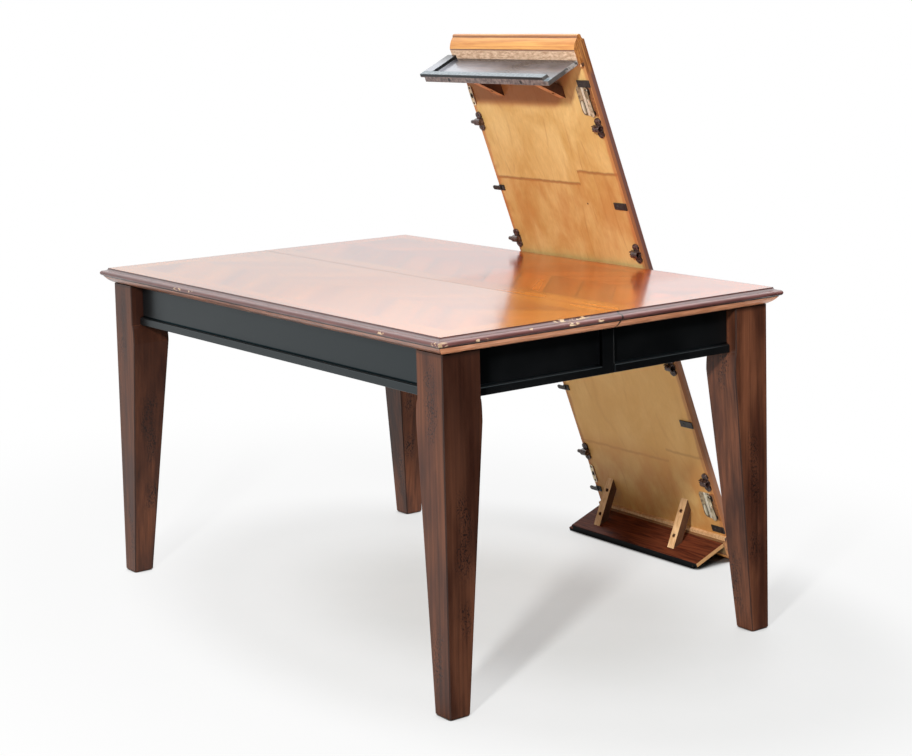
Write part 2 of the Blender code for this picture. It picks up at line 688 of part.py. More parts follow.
def add_brace(name, leaf, finishes, end, x):
    """A mitred diagonal bar from the leaf's underside to its apron's inner face, with two screw holes."""
    lean = leaf_apron_lean(end)
    apron_drop = EDGE_DEPTH - PANEL_THICK
    inner_down = BRACE_DOWN - BRACE_CONTACT
    outline = [
        (BRACE_ALONG - BRACE_CONTACT, 0.0), (BRACE_ALONG, 0.0),
        (lean * (BRACE_DOWN - apron_drop), -BRACE_DOWN), (lean * (inner_down - apron_drop), -inner_down),
    ]
    placed = [(-end * along, down) for along, down in outline]
    half = BRACE_WIDTH / 2
    corner = (x, end * (TOP_LENGTH / 2 - STRIP_WIDTH - FIT_GAP), -PANEL_THICK - FIT_GAP)
    rings = [along_x(placed, -half), along_x(placed, half)]
    brace = add_piece(name, rings, finishes["ply"], leaf, corner)
    at_panel = Vector((0.0, *placed[1]))
    at_apron = Vector((0.0, *placed[2]))
    slope = (at_panel - at_apron).normalized()
    outward = slope.cross(Vector((end, 0.0, 0.0)))
    middle = (at_panel + at_apron) / 2
    quarter = (at_panel - at_apron).length / 4
    for place in (-1, 1):
        centre = middle + slope * place * quarter
        rings = []
        for depth in (-SCREW_DEPTH, SCREW_DEPTH):
            rim = [centre + outward * depth + Vector((x, 0.0, 0.0)) + slope * y
                   for x, y in circle(SCREW_RADIUS, SMALL_ROUND_STEPS)]
            rings.append(rim)
        combine(brace, rings, "DIFFERENCE")


def add_leaf(leaf, finishes):
    """The loose leaf with its bracing, locks and strikes."""
    half_width = LEAF_WIDTH / 2 - SEAM_GAP / 2
    half_length = TOP_LENGTH / 2 - NOSE_OUT - FIT_GAP
    rings = box(-half_width, half_width, -half_length, half_length, -PANEL_THICK, 0.0)
    add_piece("leaf_panel", rings, finishes["ply"], leaf)
    for end_name, end in ENDS:
        add_leaf_end(leaf, finishes, end_name, end)
        low_inset, high_inset = UPPER_BRACE_INSETS if end == UPPER else LOWER_BRACE_INSETS
        add_brace(f"leaf_{end_name}_gusset_a", leaf, finishes, end, low_inset - LEAF_WIDTH / 2)
        add_brace(f"leaf_{end_name}_gusset_b", leaf, finishes, end, LEAF_WIDTH / 2 - high_inset)
        add_lock(f"leaf_{end_name}", leaf, finishes, -half_width, end * LOCK_OFFSET, -PANEL_THICK)
        add_strike(f"leaf_{end_name}_strike", leaf, finishes, half_width, end * LOCK_OFFSET, -PANEL_THICK)


# Where the leaf leans

def lowest_of_nose(tilt):
    """How low the lower end's moulding reaches below the corner of nose and top, at a tilt."""
    return min(inset * cos(tilt) - depth * sin(tilt) for inset, depth in edge_section())


def leaf_tilt():
    """The lean from upright at which the leaf stands on its lower nose and on its lower apron's edge."""
    apron_reach = EDGE_DEPTH + FIT_GAP + APRON_DEPTH - APRON_EASE
    low, high = 0.0, pi / 4
    for _ in range(60):
        tilt = (low + high) / 2
        apron_low = SHORT_APRON_INSET * cos(tilt) - apron_reach * sin(tilt)
        if apron_low > lowest_of_nose(tilt):
            low = tilt
        else:
            high = tilt
    return tilt


def leaf_foot(tilt):
    """X and Z, from the table's centre, of the corner where the lower nose meets the leaf's top plane."""
    foot_z = -lowest_of_nose(tilt)
    nose_x = TOP_WIDTH / 2 - NOSE_RADIUS
    nose_z = TABLE_HEIGHT - NOSE_DROP
    reach = PANEL_THICK + NOSE_RADIUS + FIT_GAP
    foot_x = nose_x + (reach + (nose_z - foot_z) * sin(tilt)) / cos(tilt)
    return foot_x, foot_z


def main():
    """Build the table about the middle of the floor it covers together with the leaning leaf."""
    clear_scene()
    finishes = make_materials()
    tilt = leaf_tilt()
    foot_x, foot_z = leaf_foot(tilt)
    table_x = -(foot_x - NOSE_OUT * sin(tilt) - TOP_WIDTH / 2) / 2

    table = make_empty("table", Matrix.Translation((table_x, 0.0, 0.0)))
    for side_name, side in SIDES:
        add_half_top(table, finishes, side_name, side)
        add_long_moulding(table, finishes, side_name, side)
        add_long_apron(table, finishes, side_name, side)
        for hand_name, hand in HANDS:
            add_short_moulding(table, finishes, side_name, side, hand_name, hand)
            add_short_apron(table, finishes, side_name, side, hand_name, hand)
            add_leg(table, finishes, side_name, side, hand_name, hand)
            add_corner_block(table, finishes, side_name, side, hand_name, hand)
    for hand_name, hand in HANDS:
        add_slide(table, finishes, hand_name, hand)
        y = hand * LOCK_OFFSET
        add_lock(f"table_{hand_name}", table, finishes, SEAM_GAP / 2, y, PANEL_UNDERSIDE)
        add_strike(f"table_{hand_name}_strike", table, finishes, -SEAM_GAP / 2, y, PANEL_UNDERSIDE)

    up_the_leaf = Vector((-sin(tilt), 0.0, cos(tilt)))
    middle = Vector((table_x + foot_x, LEAF_SHIFT, foot_z)) + up_the_leaf * TOP_LENGTH / 2
    leaf = make_empty("leaf", frame_matrix((0.0, 1.0, 0.0), up_the_leaf, middle))
    add_leaf(leaf, finishes)
    bpy.context.view_layer.update()


main()
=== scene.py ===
"""Looks of an extending dining table and its loose leaf: finishes, small fittings, floor, light and camera.

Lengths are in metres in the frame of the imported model: X runs across the table's seam, Y along it and Z is
up. The near half is on the -X side. The leaf leans on the far side with its underside towards the viewer. Its
own frame has x across its width, y up its length and z out of its top.

A SPAN is where a mask starts and where it is full. A LINE is a line's centre, half width and softness. An
OVAL is an oval's centre and its two radii.
"""

import json
from math import cos, pi, radians, sin, sqrt

import bmesh
import bpy
from mathutils import Matrix, Vector


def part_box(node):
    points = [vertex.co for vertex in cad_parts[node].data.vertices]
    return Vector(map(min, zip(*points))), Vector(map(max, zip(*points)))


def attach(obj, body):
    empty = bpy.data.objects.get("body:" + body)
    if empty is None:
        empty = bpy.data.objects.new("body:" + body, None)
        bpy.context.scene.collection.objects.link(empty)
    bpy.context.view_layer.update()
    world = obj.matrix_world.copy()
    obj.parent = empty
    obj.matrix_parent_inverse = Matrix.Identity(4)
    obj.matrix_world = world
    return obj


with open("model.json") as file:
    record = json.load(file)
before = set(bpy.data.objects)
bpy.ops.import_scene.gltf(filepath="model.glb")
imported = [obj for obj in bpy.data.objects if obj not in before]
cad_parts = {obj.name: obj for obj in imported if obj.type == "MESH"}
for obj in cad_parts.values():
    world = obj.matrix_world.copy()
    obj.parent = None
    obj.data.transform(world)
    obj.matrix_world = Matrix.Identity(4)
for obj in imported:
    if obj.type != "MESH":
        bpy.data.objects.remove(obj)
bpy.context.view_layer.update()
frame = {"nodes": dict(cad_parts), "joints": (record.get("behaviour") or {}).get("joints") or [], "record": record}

# Places taken from the frame
NEAR_TOP_LOW, NEAR_TOP_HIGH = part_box("near_top")
FAR_TOP_LOW, FAR_TOP_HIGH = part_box("far_top")
SEAM_X = (NEAR_TOP_HIGH.x + FAR_TOP_LOW.x) / 2
TOP_Z = NEAR_TOP_HIGH.z
PANEL_THICK = TOP_Z - NEAR_TOP_LOW.z
HALF_REACH = FAR_TOP_HIGH.x - SEAM_X
HALF_LENGTH = FAR_TOP_HIGH.y
NOSE_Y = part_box("far_left_moulding")[1].y
LEAF_LOW, LEAF_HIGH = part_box("leaf_panel")
LEAF_HALF_WIDTH = (LEAF_HIGH.y - LEAF_LOW.y) / 2
JOINTS = {joint["name"]: joint for joint in frame["joints"]}

LEAF_OUT = Vector(JOINTS["leaf_upper_lock"]["axis"]).normalized()
LEAF_ACROSS = Vector((0.0, 1.0, 0.0))
LEAF_UP = LEAF_OUT.cross(LEAF_ACROSS)
LEAF_MATRIX = Matrix((LEAF_ACROSS, LEAF_UP, LEAF_OUT)).transposed().to_4x4()
LEAF_MATRIX.translation = (LEAF_LOW + LEAF_HIGH) / 2 + LEAF_OUT * PANEL_THICK / 2

# Directions: to the far half, to the left side and up
FAR = Vector((1.0, 0.0, 0.0))
LEFT = Vector((0.0, 1.0, 0.0))
UP = Vector((0.0, 0.0, 1.0))

# Veneer and varnish of the top
BAND_WIDTH = 0.056
VENEER_LEAF = 0.0755
JOINT_LINE = 0.0026
OUTER_LEAF_OFFSET = 37.0
INNER_STRIP_LINE = (HALF_REACH / 4, HALF_REACH / 4 - BAND_WIDTH, 0.004)
TOP_LIFT_SPAN = (-0.62, 0.10)
TOP_SEAM_SPAN = (0.0026, 0.0010)
VARNISH_SPAN = (-0.45, 0.0)
DULL_LINE = (-0.25, 0.12, 0.12)

# Edge moulding, as depths below the flat top
NOSE_TOP = 0.0062
NOSE_BOTTOM = 0.0178
EDGE_DEPTH = 0.036
HOLLOW_SPAN = (NOSE_TOP + 0.0006, NOSE_TOP - 0.0008)
UNDER_NOSE_SHADE_SPAN = (0.0105, 0.0160)
SLOPE_SPAN = (NOSE_BOTTOM + 0.0002, NOSE_BOTTOM + 0.0010)
QUIRK_LINE = (NOSE_BOTTOM + 0.0001, 0.0013, 0.0012)
FOOT_SPAN = (EDGE_DEPTH - 0.0030, EDGE_DEPTH - 0.0012)
EDGE_SEAM_SPAN = (0.0032, 0.0016)

# Legs: painted shade, darker outer edges, and the columns of specks with the heights where they show
LEG_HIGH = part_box("far_left_leg")[1]
LEG_OUTER_X = LEG_HIGH.x - SEAM_X
LEG_TOP_SHADE_SPAN = (LEG_HIGH.z - 0.012, LEG_HIGH.z - 0.002)
LEG_EDGE_SPAN = (LEG_OUTER_X - 0.006, LEG_OUTER_X - 0.0005)
LEG_SHADE_HEIGHT_SPAN = (0.15, 0.62)
NEAR_LEG_SPAN = (SEAM_X + 0.1, SEAM_X - 0.1)
LONG_FACE_COLUMN_LINE = (LEG_HIGH.y - 0.038, 0.004, 0.020)
SHORT_FACE_COLUMN_LINE = (LEG_OUTER_X - 0.042, 0.004, 0.020)
LONG_FACE_BAND_LINES = ((0.610, 0.050, 0.050), (0.110, 0.030, 0.060))
SHORT_FACE_BAND_LINES = ((0.355, 0.050, 0.060), (0.190, 0.010, 0.040))
COLUMN_DRIFT = 0.05

# Aprons: the top of the bottom rail, and the end of the stile that laps over the seam, with its painted highlight
APRON_LOW, APRON_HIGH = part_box("near_right_apron")
STILE_EDGE = APRON_HIGH.x
RAIL_HEIGHT = 0.020
RAIL_TOP = APRON_LOW.z + RAIL_HEIGHT
RAIL_CORNER_LINE = (RAIL_TOP, 0.0014, 0.0006)
STILE_CORNER_LINE = (STILE_EDGE - 0.031, 0.006, 0.001)
STILE_HIGHLIGHT_LINE = (STILE_EDGE - 0.0004, 0.0006, 0.0004)
STILE_HIGHLIGHT_SPAN = (RAIL_TOP - 0.004, RAIL_TOP)

# Leaf's aprons, in the leaf's frame
LEAF_RAIL_SPAN = (-0.1145, -0.1160)
UNDER_TRIM_SHADE_SPAN = (-0.075, -0.035)
# Where the painted reflection on the upper apron's panel lies
GLEAM_ACROSS_SPAN = (-0.06, 0.18)
GLEAM_DOWN_SPAN = (-0.040, -0.090)
UPPER_BOARD_SPAN = (0.6262, 0.6248)
LOWER_BOARD_SPAN = (-0.6345, -0.6330)
APRON_HOLE_OVAL = ((0.1325, 0.6190), (0.0046, 0.0046))
RIGHT_END_SPAN = (-0.18, -0.20)
END_CHIP_SPAN = (-0.085, -0.060)

# Leaf's plywood: for each joint the place of its step, and its height to the left and to the right of it
PLY_JOINTS = ((-0.087, 0.314, 0.346), (-0.099, -0.430, -0.398))
JOINT_RIPPLE = 0.010
CRACK_HALF_WIDTH = 0.0010
CRACK_SOFT = 0.0050
TINGE_RISE = 0.007
TINGE_EDGE_SPAN = (0.0, -0.003)
TINGE_FOOT_SPAN = (0.02, 0.20)
LOW_SHEET_SPAN = (-0.38, -0.43)
# Painted light: a lighter band across the plywood
PAINTED_LIGHT_BAND_LINE = (-0.27, 0.10, 0.18)
# Painted shadow that the upper apron casts on the underside: its slanted side and its lower edge
APRON_SHADOW_SLANT = 0.948
APRON_SHADOW_SLANT_SPAN = (0.376, 0.406)
APRON_SHADOW_FOOT_SPAN = (0.498, 0.518)
STAIN_REACH = 0.020
STAIN_SPAN = (0.004, -0.004)
PINHOLE_X_LINE = (-0.091, 0.0015, 0.001)
PINHOLE_Y_LINE = (0.264, 0.0015, 0.001)

# Leaf's long edges and end mouldings
TAN_EDGE_SPAN = (0.0, -0.16)
BARE_EDGE_SPAN = (-0.0095, -0.0125)
SAWN_EDGE_SPAN = (HALF_LENGTH - 0.085, HALF_LENGTH - 0.065)
TRIM_QUIRK_LINE = (NOSE_BOTTOM - 0.0008, 0.0005, 0.0014)
ABOVE_NOSE_SPAN = (NOSE_BOTTOM - 0.007, NOSE_BOTTOM - 0.010)
RAW_EDGE = HALF_LENGTH - 0.0108
TORN_SPAN = (RAW_EDGE - 0.0015, RAW_EDGE + 0.0005)
TORN_DRIFT = 0.008

# Marks on strikes and lock plates, from the middle of each, among them painted highlights and shade
STRIKE_SHADOW_SPAN = (-0.0045, -0.0058)
STRIKE_SCREW_OVAL = ((0.0008, 0.0200), (0.0030, 0.0036))
STRIKE_POCKET_OVAL = ((0.0005, 0.0), (0.0046, 0.0072))
LOCK_STRIP_SPAN = (0.0005, -0.0015)
LOCK_BEND_HIGHLIGHT_LINES = ((-0.0015, 0.0011, 0.0008), (0.0125, 0.0010, 0.0008))
LOCK_SLOT_OVAL = ((-0.0070, 0.0240), (0.0040, 0.0090))
LOCK_SCREW_OVAL = ((-0.0070, -0.0280), (0.0042, 0.0048))
LOCK_SHADE_OVAL = ((0.0070, 0.0190), (0.0034, 0.0130))

# Lock housings
HOUSING_START = 0.0155
HOUSING_END = 0.036
HOUSING_HALF_LENGTH = 0.036
HOUSING_ROUND = 0.010
HOUSING_THICK = 0.0017
HOUSING_SHIFT = 0.002
HOUSING_RIM_HIGHLIGHT_SPAN = (HOUSING_START + 0.0032, HOUSING_START + 0.0022)
BOSS_CENTRE = (0.0265, 0.016)
BOSS_RADII = (0.0065, 0.016)
BOSS_RING = 0.0016

# Fittings under the long edges of the leaf and beside the seam
PIN_PLACES = (-0.463, -0.148, 0.148, 0.463)
FINGER_PLACES = (-0.580, -0.285, 0.276, 0.575)
PLATE_PLACES = (-0.597, -0.306, 0.266, 0.570)
LOBE_RADIUS = 0.0095
LOBE_REACH = 0.0150
LOBE_THICK = 0.005
LOBE_SCREW_REACH = LOBE_REACH * 1.2
FLANGE_CENTRE = -0.0105
BARREL_RADIUS = 0.0085
BARREL_START = -0.020
BARREL_FOOT = BARREL_RADIUS * 0.95
PIN_RADIUS = 0.0052
PIN_LENGTH = 0.017
PIN_DROP = 0.0085
SOCKET_RADIUS = 0.0057
SOCKET_BACK = 0.002
FIN_LENGTH = 0.009
FIN_THICK = 0.0022
FIN_STEP = 0.0056
FIN_DROP = 0.0105
SCREW_RADIUS = 0.0034
SCREW_RISE = 0.0014
TAB_THICK = 0.003
TAB_ROUND = 0.001
FINGER_BASE = 0.020
FINGER_BASE_END = -0.001
FINGER_BASE_HALF_WIDTH = 0.0070
FINGER_SCREW = -FINGER_BASE * 0.72
FINGER_LENGTH = 0.020
FINGER_HALF_WIDTH = 0.0055
FINGER_ROUND = FINGER_HALF_WIDTH * 0.98
FINGER_DROP = 0.0033
PLATE_REACH = 0.042
PLATE_END = -0.0008
PLATE_HALF_WIDTH = 0.0085
PLATE_SCREW = -PLATE_REACH * 0.7
SEAT_GAP = 0.0003
FITTING_EASE = 0.0005
FITTING_SHARP_ANGLE = radians(40)
NODE_SHARP_ANGLE = radians(35)
ROUND_STEPS = 24
LOBE_STEPS = 10
BARREL_STEPS = 12
CORNER_STEPS = 5

# Shares of a screw's rise and radius, and of a pin's length and radius
SCREW_PROFILE = ((0.0, 1.0), (0.5, 1.0), (1.0, 0.7), (0.55, 0.35), (0.5, 0.1))
PIN_PROFILE = ((0.55, 1.0), (0.9, 0.85), (1.0, 0.5))

# Camera, light and floor
CAMERA_PLACE = (-2.7147, -3.5509, 1.3746)
CAMERA_YAW = 0.94383
CAMERA_PITCH = -0.10511
CAMERA_ROLL = -0.02495
CAMERA_LENS = 76.939
SENSOR_WIDTH = 36.0
CAMERA_SHIFT = (0.04159, -0.19109)
KEY_AIM = (0.0, -0.1, 0.75)
KEY_DIRECTION = (-0.765, -0.521, 0.379)
KEY_DISTANCE = 5.0
KEY_SIZE = 0.40
KEY_POWER = 290.0
ROOM_LIGHT = 0.20
CEILING_LIGHT = 2.4
CEILING_SPAN = (0.35, 0.80)
WALL_SPAN = (0.11, 0.21)
DARK_SIDE = (0.62, -0.78, 0.0)
DARK_SIDE_SPAN = (0.25, 0.75)
DARK_LOW_SPAN = (0.75, 0.30)
FLOOR_SIZE = 16.0
GREY_PATCH = (-0.05, -0.20, 0.0)
PATCH_STRETCH = (1.6, 1.0, 1.0)
INNER_PATCH_SPAN = (0.3, 0.8)
MIDDLE_PATCH_SPAN = (0.85, 1.25)
OUTER_PATCH_SPAN = (1.25, 2.5)
CONTACT_REACH = 0.16
CONTACT_SPAN = (0.68, 0.25)
# Where the floor is black in reflections only: in front of the table's -Y side
DARK_FLOOR_X_SPAN = (-0.80, -0.55)
DARK_FLOOR_Y_SPAN = (-0.50, -0.72)
WHITE = (1.0, 1.0, 1.0, 1.0)


# Nodes of a material

class Value:
    """A number, a place or a colour made by a node, and what can be worked out from it."""

    def __init__(self, nodes, socket):
        self.nodes = nodes
        self.socket = socket

    def math(self, operation, *others):
        """A number worked out from this one and others."""
        return self.nodes.add("ShaderNodeMath", (self, *others), operation=operation)

    def vector(self, operation, *others, output=0):
        """A place or a number worked out from this place and others."""
        return self.nodes.add("ShaderNodeVectorMath", (self, *others), output, operation=operation)

    def __add__(self, other):
        return self.math("ADD", other)

    def __sub__(self, other):
        return self.math("SUBTRACT", other)

    def __rsub__(self, other):
        return self.nodes.add("ShaderNodeMath", (other, self), operation="SUBTRACT")

    def __mul__(self, other):
        return self.math("MULTIPLY", other)

    def __truediv__(self, other):
        return self.math("DIVIDE", other)

    def __abs__(self):
        return self.math("ABSOLUTE")

    def over(self, limit):
        """1 above a limit, 0 below it."""
        return self.math("GREATER_THAN", limit)

    def under(self, limit):
        """1 below a limit, 0 above it."""
        return self.math("LESS_THAN", limit)

    def fade(self, low, high):
        """Smoothly 0 at low to 1 at high."""
        return self.nodes.add("ShaderNodeMapRange", (self, low, high), interpolation_type="SMOOTHSTEP")

    def scaled(self, low, high, to_low, to_high):
        """A number mapped in a straight line from one range to another, and held at its ends."""
        return self.nodes.add("ShaderNodeMapRange", (self, low, high, to_low, to_high))

    def varied(self, low, high):
        """A number that follows a noise from one value to another."""
        return self.scaled(0.3, 0.7, low, high)

    def line(self, centre, half_width, soft):
        """1 on a line where the number equals centre, 0 away from it."""
        return abs(self - centre).fade(half_width + soft, half_width)

    def pick(self, first, second):
        """A number between two others: the first at 0, the second at 1."""
        return self.nodes.add("ShaderNodeMix", {0: self, 2: first, 3: second}, data_type="FLOAT")

    def blend(self, first, second):
        """A colour between two others: the first at 0, the second at 1."""
        return self.nodes.mixed(self, first, second)

    def tone(self, dark, light, low=0.3, high=0.7):
        """A colour from dark at low to light at high."""
        return self.fade(low, high).blend(dark, light)

    def paint(self, mask, colour, mode="MIX"):
        """This colour with another one over it where a mask is 1."""
        return self.nodes.mixed(mask, self, colour, mode)

    def gained(self, gain):
        """This colour made darker or lighter by a number."""
        return self.paint(1.0, self.nodes.join(gain, gain, gain), "MULTIPLY")

    def shaded(self, noise, low, high):
        """This colour made darker or lighter by a noise."""
        return self.gained(noise.varied(low, high))

    def parts(self):
        """The three parts of a place."""
        outputs = self.nodes.add("ShaderNodeSeparateXYZ", (self,)).socket.node.outputs
        return tuple(Value(self.nodes, output) for output in outputs)

    def dot(self, axis):
        """How far a direction runs along an axis."""
        return self.vector("DOT_PRODUCT", tuple(axis), output="Value")

    def stretched(self, scales):
        """A place with its parts multiplied."""
        return self.vector("MULTIPLY", scales)

    def reach(self, centre, scales):
        """How far a place is from a centre, with its parts multiplied."""
        return self.vector("SUBTRACT", centre).stretched(scales).vector("LENGTH", output="Value")

    def noise(self, scale, detail=3.0, roughness=0.5, distortion=0.0):
        """Cloudy noise about 0.5."""
        inputs = {
            "Vector": self, "Scale": scale, "Detail": detail,
            "Roughness": roughness, "Distortion": distortion,
        }
        return self.nodes.add("ShaderNodeTexNoise", inputs)

    def grain(self, scales, *settings):
        """Noise with its own scale on each axis."""
        return self.stretched(scales).noise(1.0, *settings)

    def chance(self):
        """A number between 0 and 1 that jumps with each whole step."""
        return self.nodes.add("ShaderNodeTexWhiteNoise", {"W": self}, noise_dimensions="1D")

    def bump(self, distance, strength):
        """A normal that follows a height in metres times distance."""
        inputs = {"Height": self, "Distance": distance, "Strength": strength}
        return self.nodes.add("ShaderNodeBump", inputs)


class Finish:
    """A material with a principled shader, and ways to add nodes to it."""

    def __init__(self, name, settings):
        self.material = bpy.data.materials.new(name)
        self.material.use_nodes = True
        self.tree = self.material.node_tree
        self.shader = self.tree.nodes["Principled BSDF"]
        for socket, value in settings.items():
            self.shader.inputs[socket].default_value = value

    def feed(self, socket, value):
        """Link a socket to a node's value, or set it."""
        if isinstance(value, Value):
            self.tree.links.new(value.socket, socket)
        else:
            socket.default_value = value

    def add(self, kind, inputs=(), output=0, **settings):
        """One output of a new node; the inputs are given in order, or by name or number."""
        made = self.tree.nodes.new(kind)
        for key, value in settings.items():
            setattr(made, key, value)
        named = inputs if isinstance(inputs, dict) else dict(enumerate(inputs))
        for key, value in named.items():
            self.feed(made.inputs[key], value)
        return Value(self, made.outputs[output])

    def surface(self, **links):
        """Link the shader's colour, roughness, metallic, coat or normal."""
        names = {
            "colour": "Base Color", "roughness": "Roughness", "metallic": "Metallic",
            "coat": "Coat Weight", "normal": "Normal",
        }
        for key, value in links.items():
            self.feed(self.shader.inputs[names[key]], value)
        return self.material

    def mixed(self, factor, first, second, mode="MIX"):
        """A colour mixed from two others."""
        inputs = {0: factor, 6: as_colour(first), 7: as_colour(second)}
        return self.add("ShaderNodeMix", inputs, 2, data_type="RGBA", blend_type=mode)

    def join(self, x, y, z=0.0):
        """A place from its parts."""
        return self.add("ShaderNodeCombineXYZ", (x, y, z))

    def coordinates(self, matrix=None):
        """Rest place of a surface point in the model's frame, or in the frame of a matrix."""
        place = self.add("ShaderNodeTexCoord", output="Object")
        if matrix is None:
            return place
        inputs = {"Vector": place, "Location": matrix.translation, "Rotation": matrix.to_euler()}
        return self.add("ShaderNodeMapping", inputs, vector_type="TEXTURE")

    def facing(self, axis):
        """How far the surface faces along an axis, from -1 to 1."""
        return self.add("ShaderNodeTexCoord", output="Normal").dot(axis)

    def faces(self, axis, low=0.6, high=0.8):
        """1 on faces that look along an axis, 0 on the others."""
        return self.facing(axis).fade(low, high)

    def both_faces(self, axis, low=0.6, high=0.8):
        """1 on faces that look either way along an axis, 0 on the others."""
        return abs(self.facing(axis)).fade(low, high)

    def ray(self, kind):
        """1 for rays of one kind."""
        return self.add("ShaderNodeLightPath", output=f"Is {kind} Ray")

    def mirrored(self):
        """1 for rays of reflections and of clear glass."""
        return most(self.ray("Glossy"), self.ray("Transmission"))


def as_colour(value):
    """A colour with its alpha, or a node's value as it is."""
    return value if isinstance(value, Value) else (*value, 1.0)


def most(first, *others):
    """The largest of several numbers."""
    for other in others:
        first = first.math("MAXIMUM", other)
    return first


def oval(x, y, centre, radii):
    """1 inside an oval, 0 outside it."""
    across = (x - centre[0]) / radii[0]
    along = (y - centre[1]) / radii[1]
    return (across * across + along * along).fade(1.15, 0.85)


# Finishes

def matched_veneer(finish, across, along, reach, contrast):
    """Colour of matched veneer: diagonal leaves in two strips, framed by a plain band."""
    rising = (across + along) * sqrt(0.5)
    falling = (across - along) * sqrt(0.5)
    outer_strip = across.over(reach / 2)
    field_cross = outer_strip.pick(falling, rising)
    field_along = outer_strip.pick(rising, falling)

    from_long_edge = across.math("MINIMUM", reach - across)
    from_end = HALF_LENGTH - abs(along)
    at_end = from_end.under(from_long_edge)
    from_border = from_long_edge.math("MINIMUM", from_end)
    in_field = from_border.over(BAND_WIDTH)
    cross = in_field.pick(at_end.pick(across, along), field_cross)
    length = in_field.pick(at_end.pick(along, across), field_along)

    leaf_number = (field_cross / VENEER_LEAF).math("FLOOR")
    leaf_tone = (outer_strip * OUTER_LEAF_OFFSET + leaf_number).chance()
    grain_place = finish.join(length, cross)
    fine = grain_place.grain((1.5, 38.0, 1.0), 1.0, 0.4)
    broad = grain_place.grain((0.9, 13.0, 1.0), 1.0, 0.4)
    leaf_grain = (leaf_tone - 0.5) * (contrast * 0.30) + broad
    field_colour = leaf_grain.tone((0.40, 0.070, 0.004), (0.84, 0.225, 0.014), 0.20, 0.80)
    band_colour = broad.tone((0.60, 0.140, 0.010), (0.88, 0.270, 0.024))
    colour = in_field.blend(band_colour, field_colour).shaded(fine, 0.80, 1.18)

    leaf_edge = field_cross.math("PINGPONG", VENEER_LEAF / 2)
    joints = leaf_edge.line(0.0, JOINT_LINE / 2, JOINT_LINE) * in_field
    for value, joint in ((across, reach / 2), (from_border, BAND_WIDTH)):
        joints = most(joints, value.line(joint, JOINT_LINE / 2, JOINT_LINE))
    return colour.paint(joints * (contrast * 0.70), (0.12, 0.028, 0.008))


def top_finish():
    """The table top: honey-orange matched veneer under a glossy varnish, darker along the seam."""
    settings = {"Coat Roughness": 0.13, "Coat IOR": 1.5, "IOR": 1.5, "Specular Tint": (0.85, 0.97, 1.0, 1.0)}
    finish = Finish("honey_veneer", settings)
    place = finish.coordinates()
    x, y, _ = place.parts()
    from_seam = abs(x - SEAM_X)
    far_half = x.over(SEAM_X)
    colour = matched_veneer(finish, from_seam, y, HALF_REACH, far_half.pick(0.2, 1.0))
    deeper = from_seam.line(*INNER_STRIP_LINE).pick(1.0, 0.6) * x.over(SEAM_X + BAND_WIDTH)
    colour = colour.paint(deeper, (0.96, 0.62, 0.40), "MULTIPLY")
    colour = colour.gained(y.scaled(*TOP_LIFT_SPAN, 1.28, 0.78))
    seam = from_seam.fade(*TOP_SEAM_SPAN)
    colour = colour.paint(seam * 0.7, (0.10, 0.030, 0.012))
    underside = finish.faces(UP, 0.2, -0.2)
    raw = place.grain((60.0, 4.0, 20.0))
    colour = colour.paint(underside, raw.blend((0.50, 0.27, 0.11), (0.66, 0.40, 0.18)))
    coat = (1.0 - most(underside, seam * 0.6)) * y.scaled(*VARNISH_SPAN, 1.0, 0.70)
    coat = coat * (y.line(*DULL_LINE) * far_half).pick(1.0, 0.65)
    return finish.surface(colour=colour, roughness=underside.pick(0.25, 0.7), coat=coat)


def chip_mask(place, stretch, zones):
    """Where the edge is chipped: flakes inside a few listed zones of centre, size and strength."""
    flakes = place.stretched(stretch).noise(170.0, 2.0, 0.5).fade(0.50, 0.54)
    masks = []
    for centre, size, strength in zones:
        share = place.reach(centre, tuple(1.0 / extent for extent in size))
        masks.append(share.fade(1.0, 0.6) * strength)
    return most(*masks) * flakes


def moulding_chips(place):
    """Chips on the table's edge: most by the seam on the right side, a few small ones elsewhere."""
    right = -NOSE_Y
    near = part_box("near_long_moulding")[0].x
    short_side = (
        ((-0.268, right + 0.013, TOP_Z - 0.002), (0.060, 0.005, 0.005), 1.0),
        ((-0.275, right, TOP_Z - 0.010), (0.022, 0.010, 0.004), 1.0),
        ((-0.200, right, TOP_Z - 0.011), (0.009, 0.010, 0.004), 0.8),
        ((-0.375, right + 0.003, TOP_Z - 0.009), (0.008, 0.010, 0.004), 0.8),
        ((-0.500, right, TOP_Z - 0.013), (0.020, 0.012, 0.004), 0.7),
        ((near + 0.006, right + 0.006, TOP_Z - 0.012), (0.022, 0.022, 0.007), 0.5),
    )
    long_side = (
        ((near, -0.496, TOP_Z - 0.010), (0.010, 0.015, 0.005), 0.6),
        ((near, 0.305, TOP_Z - 0.011), (0.010, 0.020, 0.004), 0.6),
        ((near, 0.245, TOP_Z - 0.011), (0.010, 0.014, 0.004), 0.7),
        ((near + 0.020, 0.030, TOP_Z - 0.033), (0.010, 0.010, 0.004), 0.9),
    )
    on_short = chip_mask(place, (0.45, 1.0, 1.0), short_side)
    return most(on_short, chip_mask(place, (1.0, 0.45, 1.0), long_side))


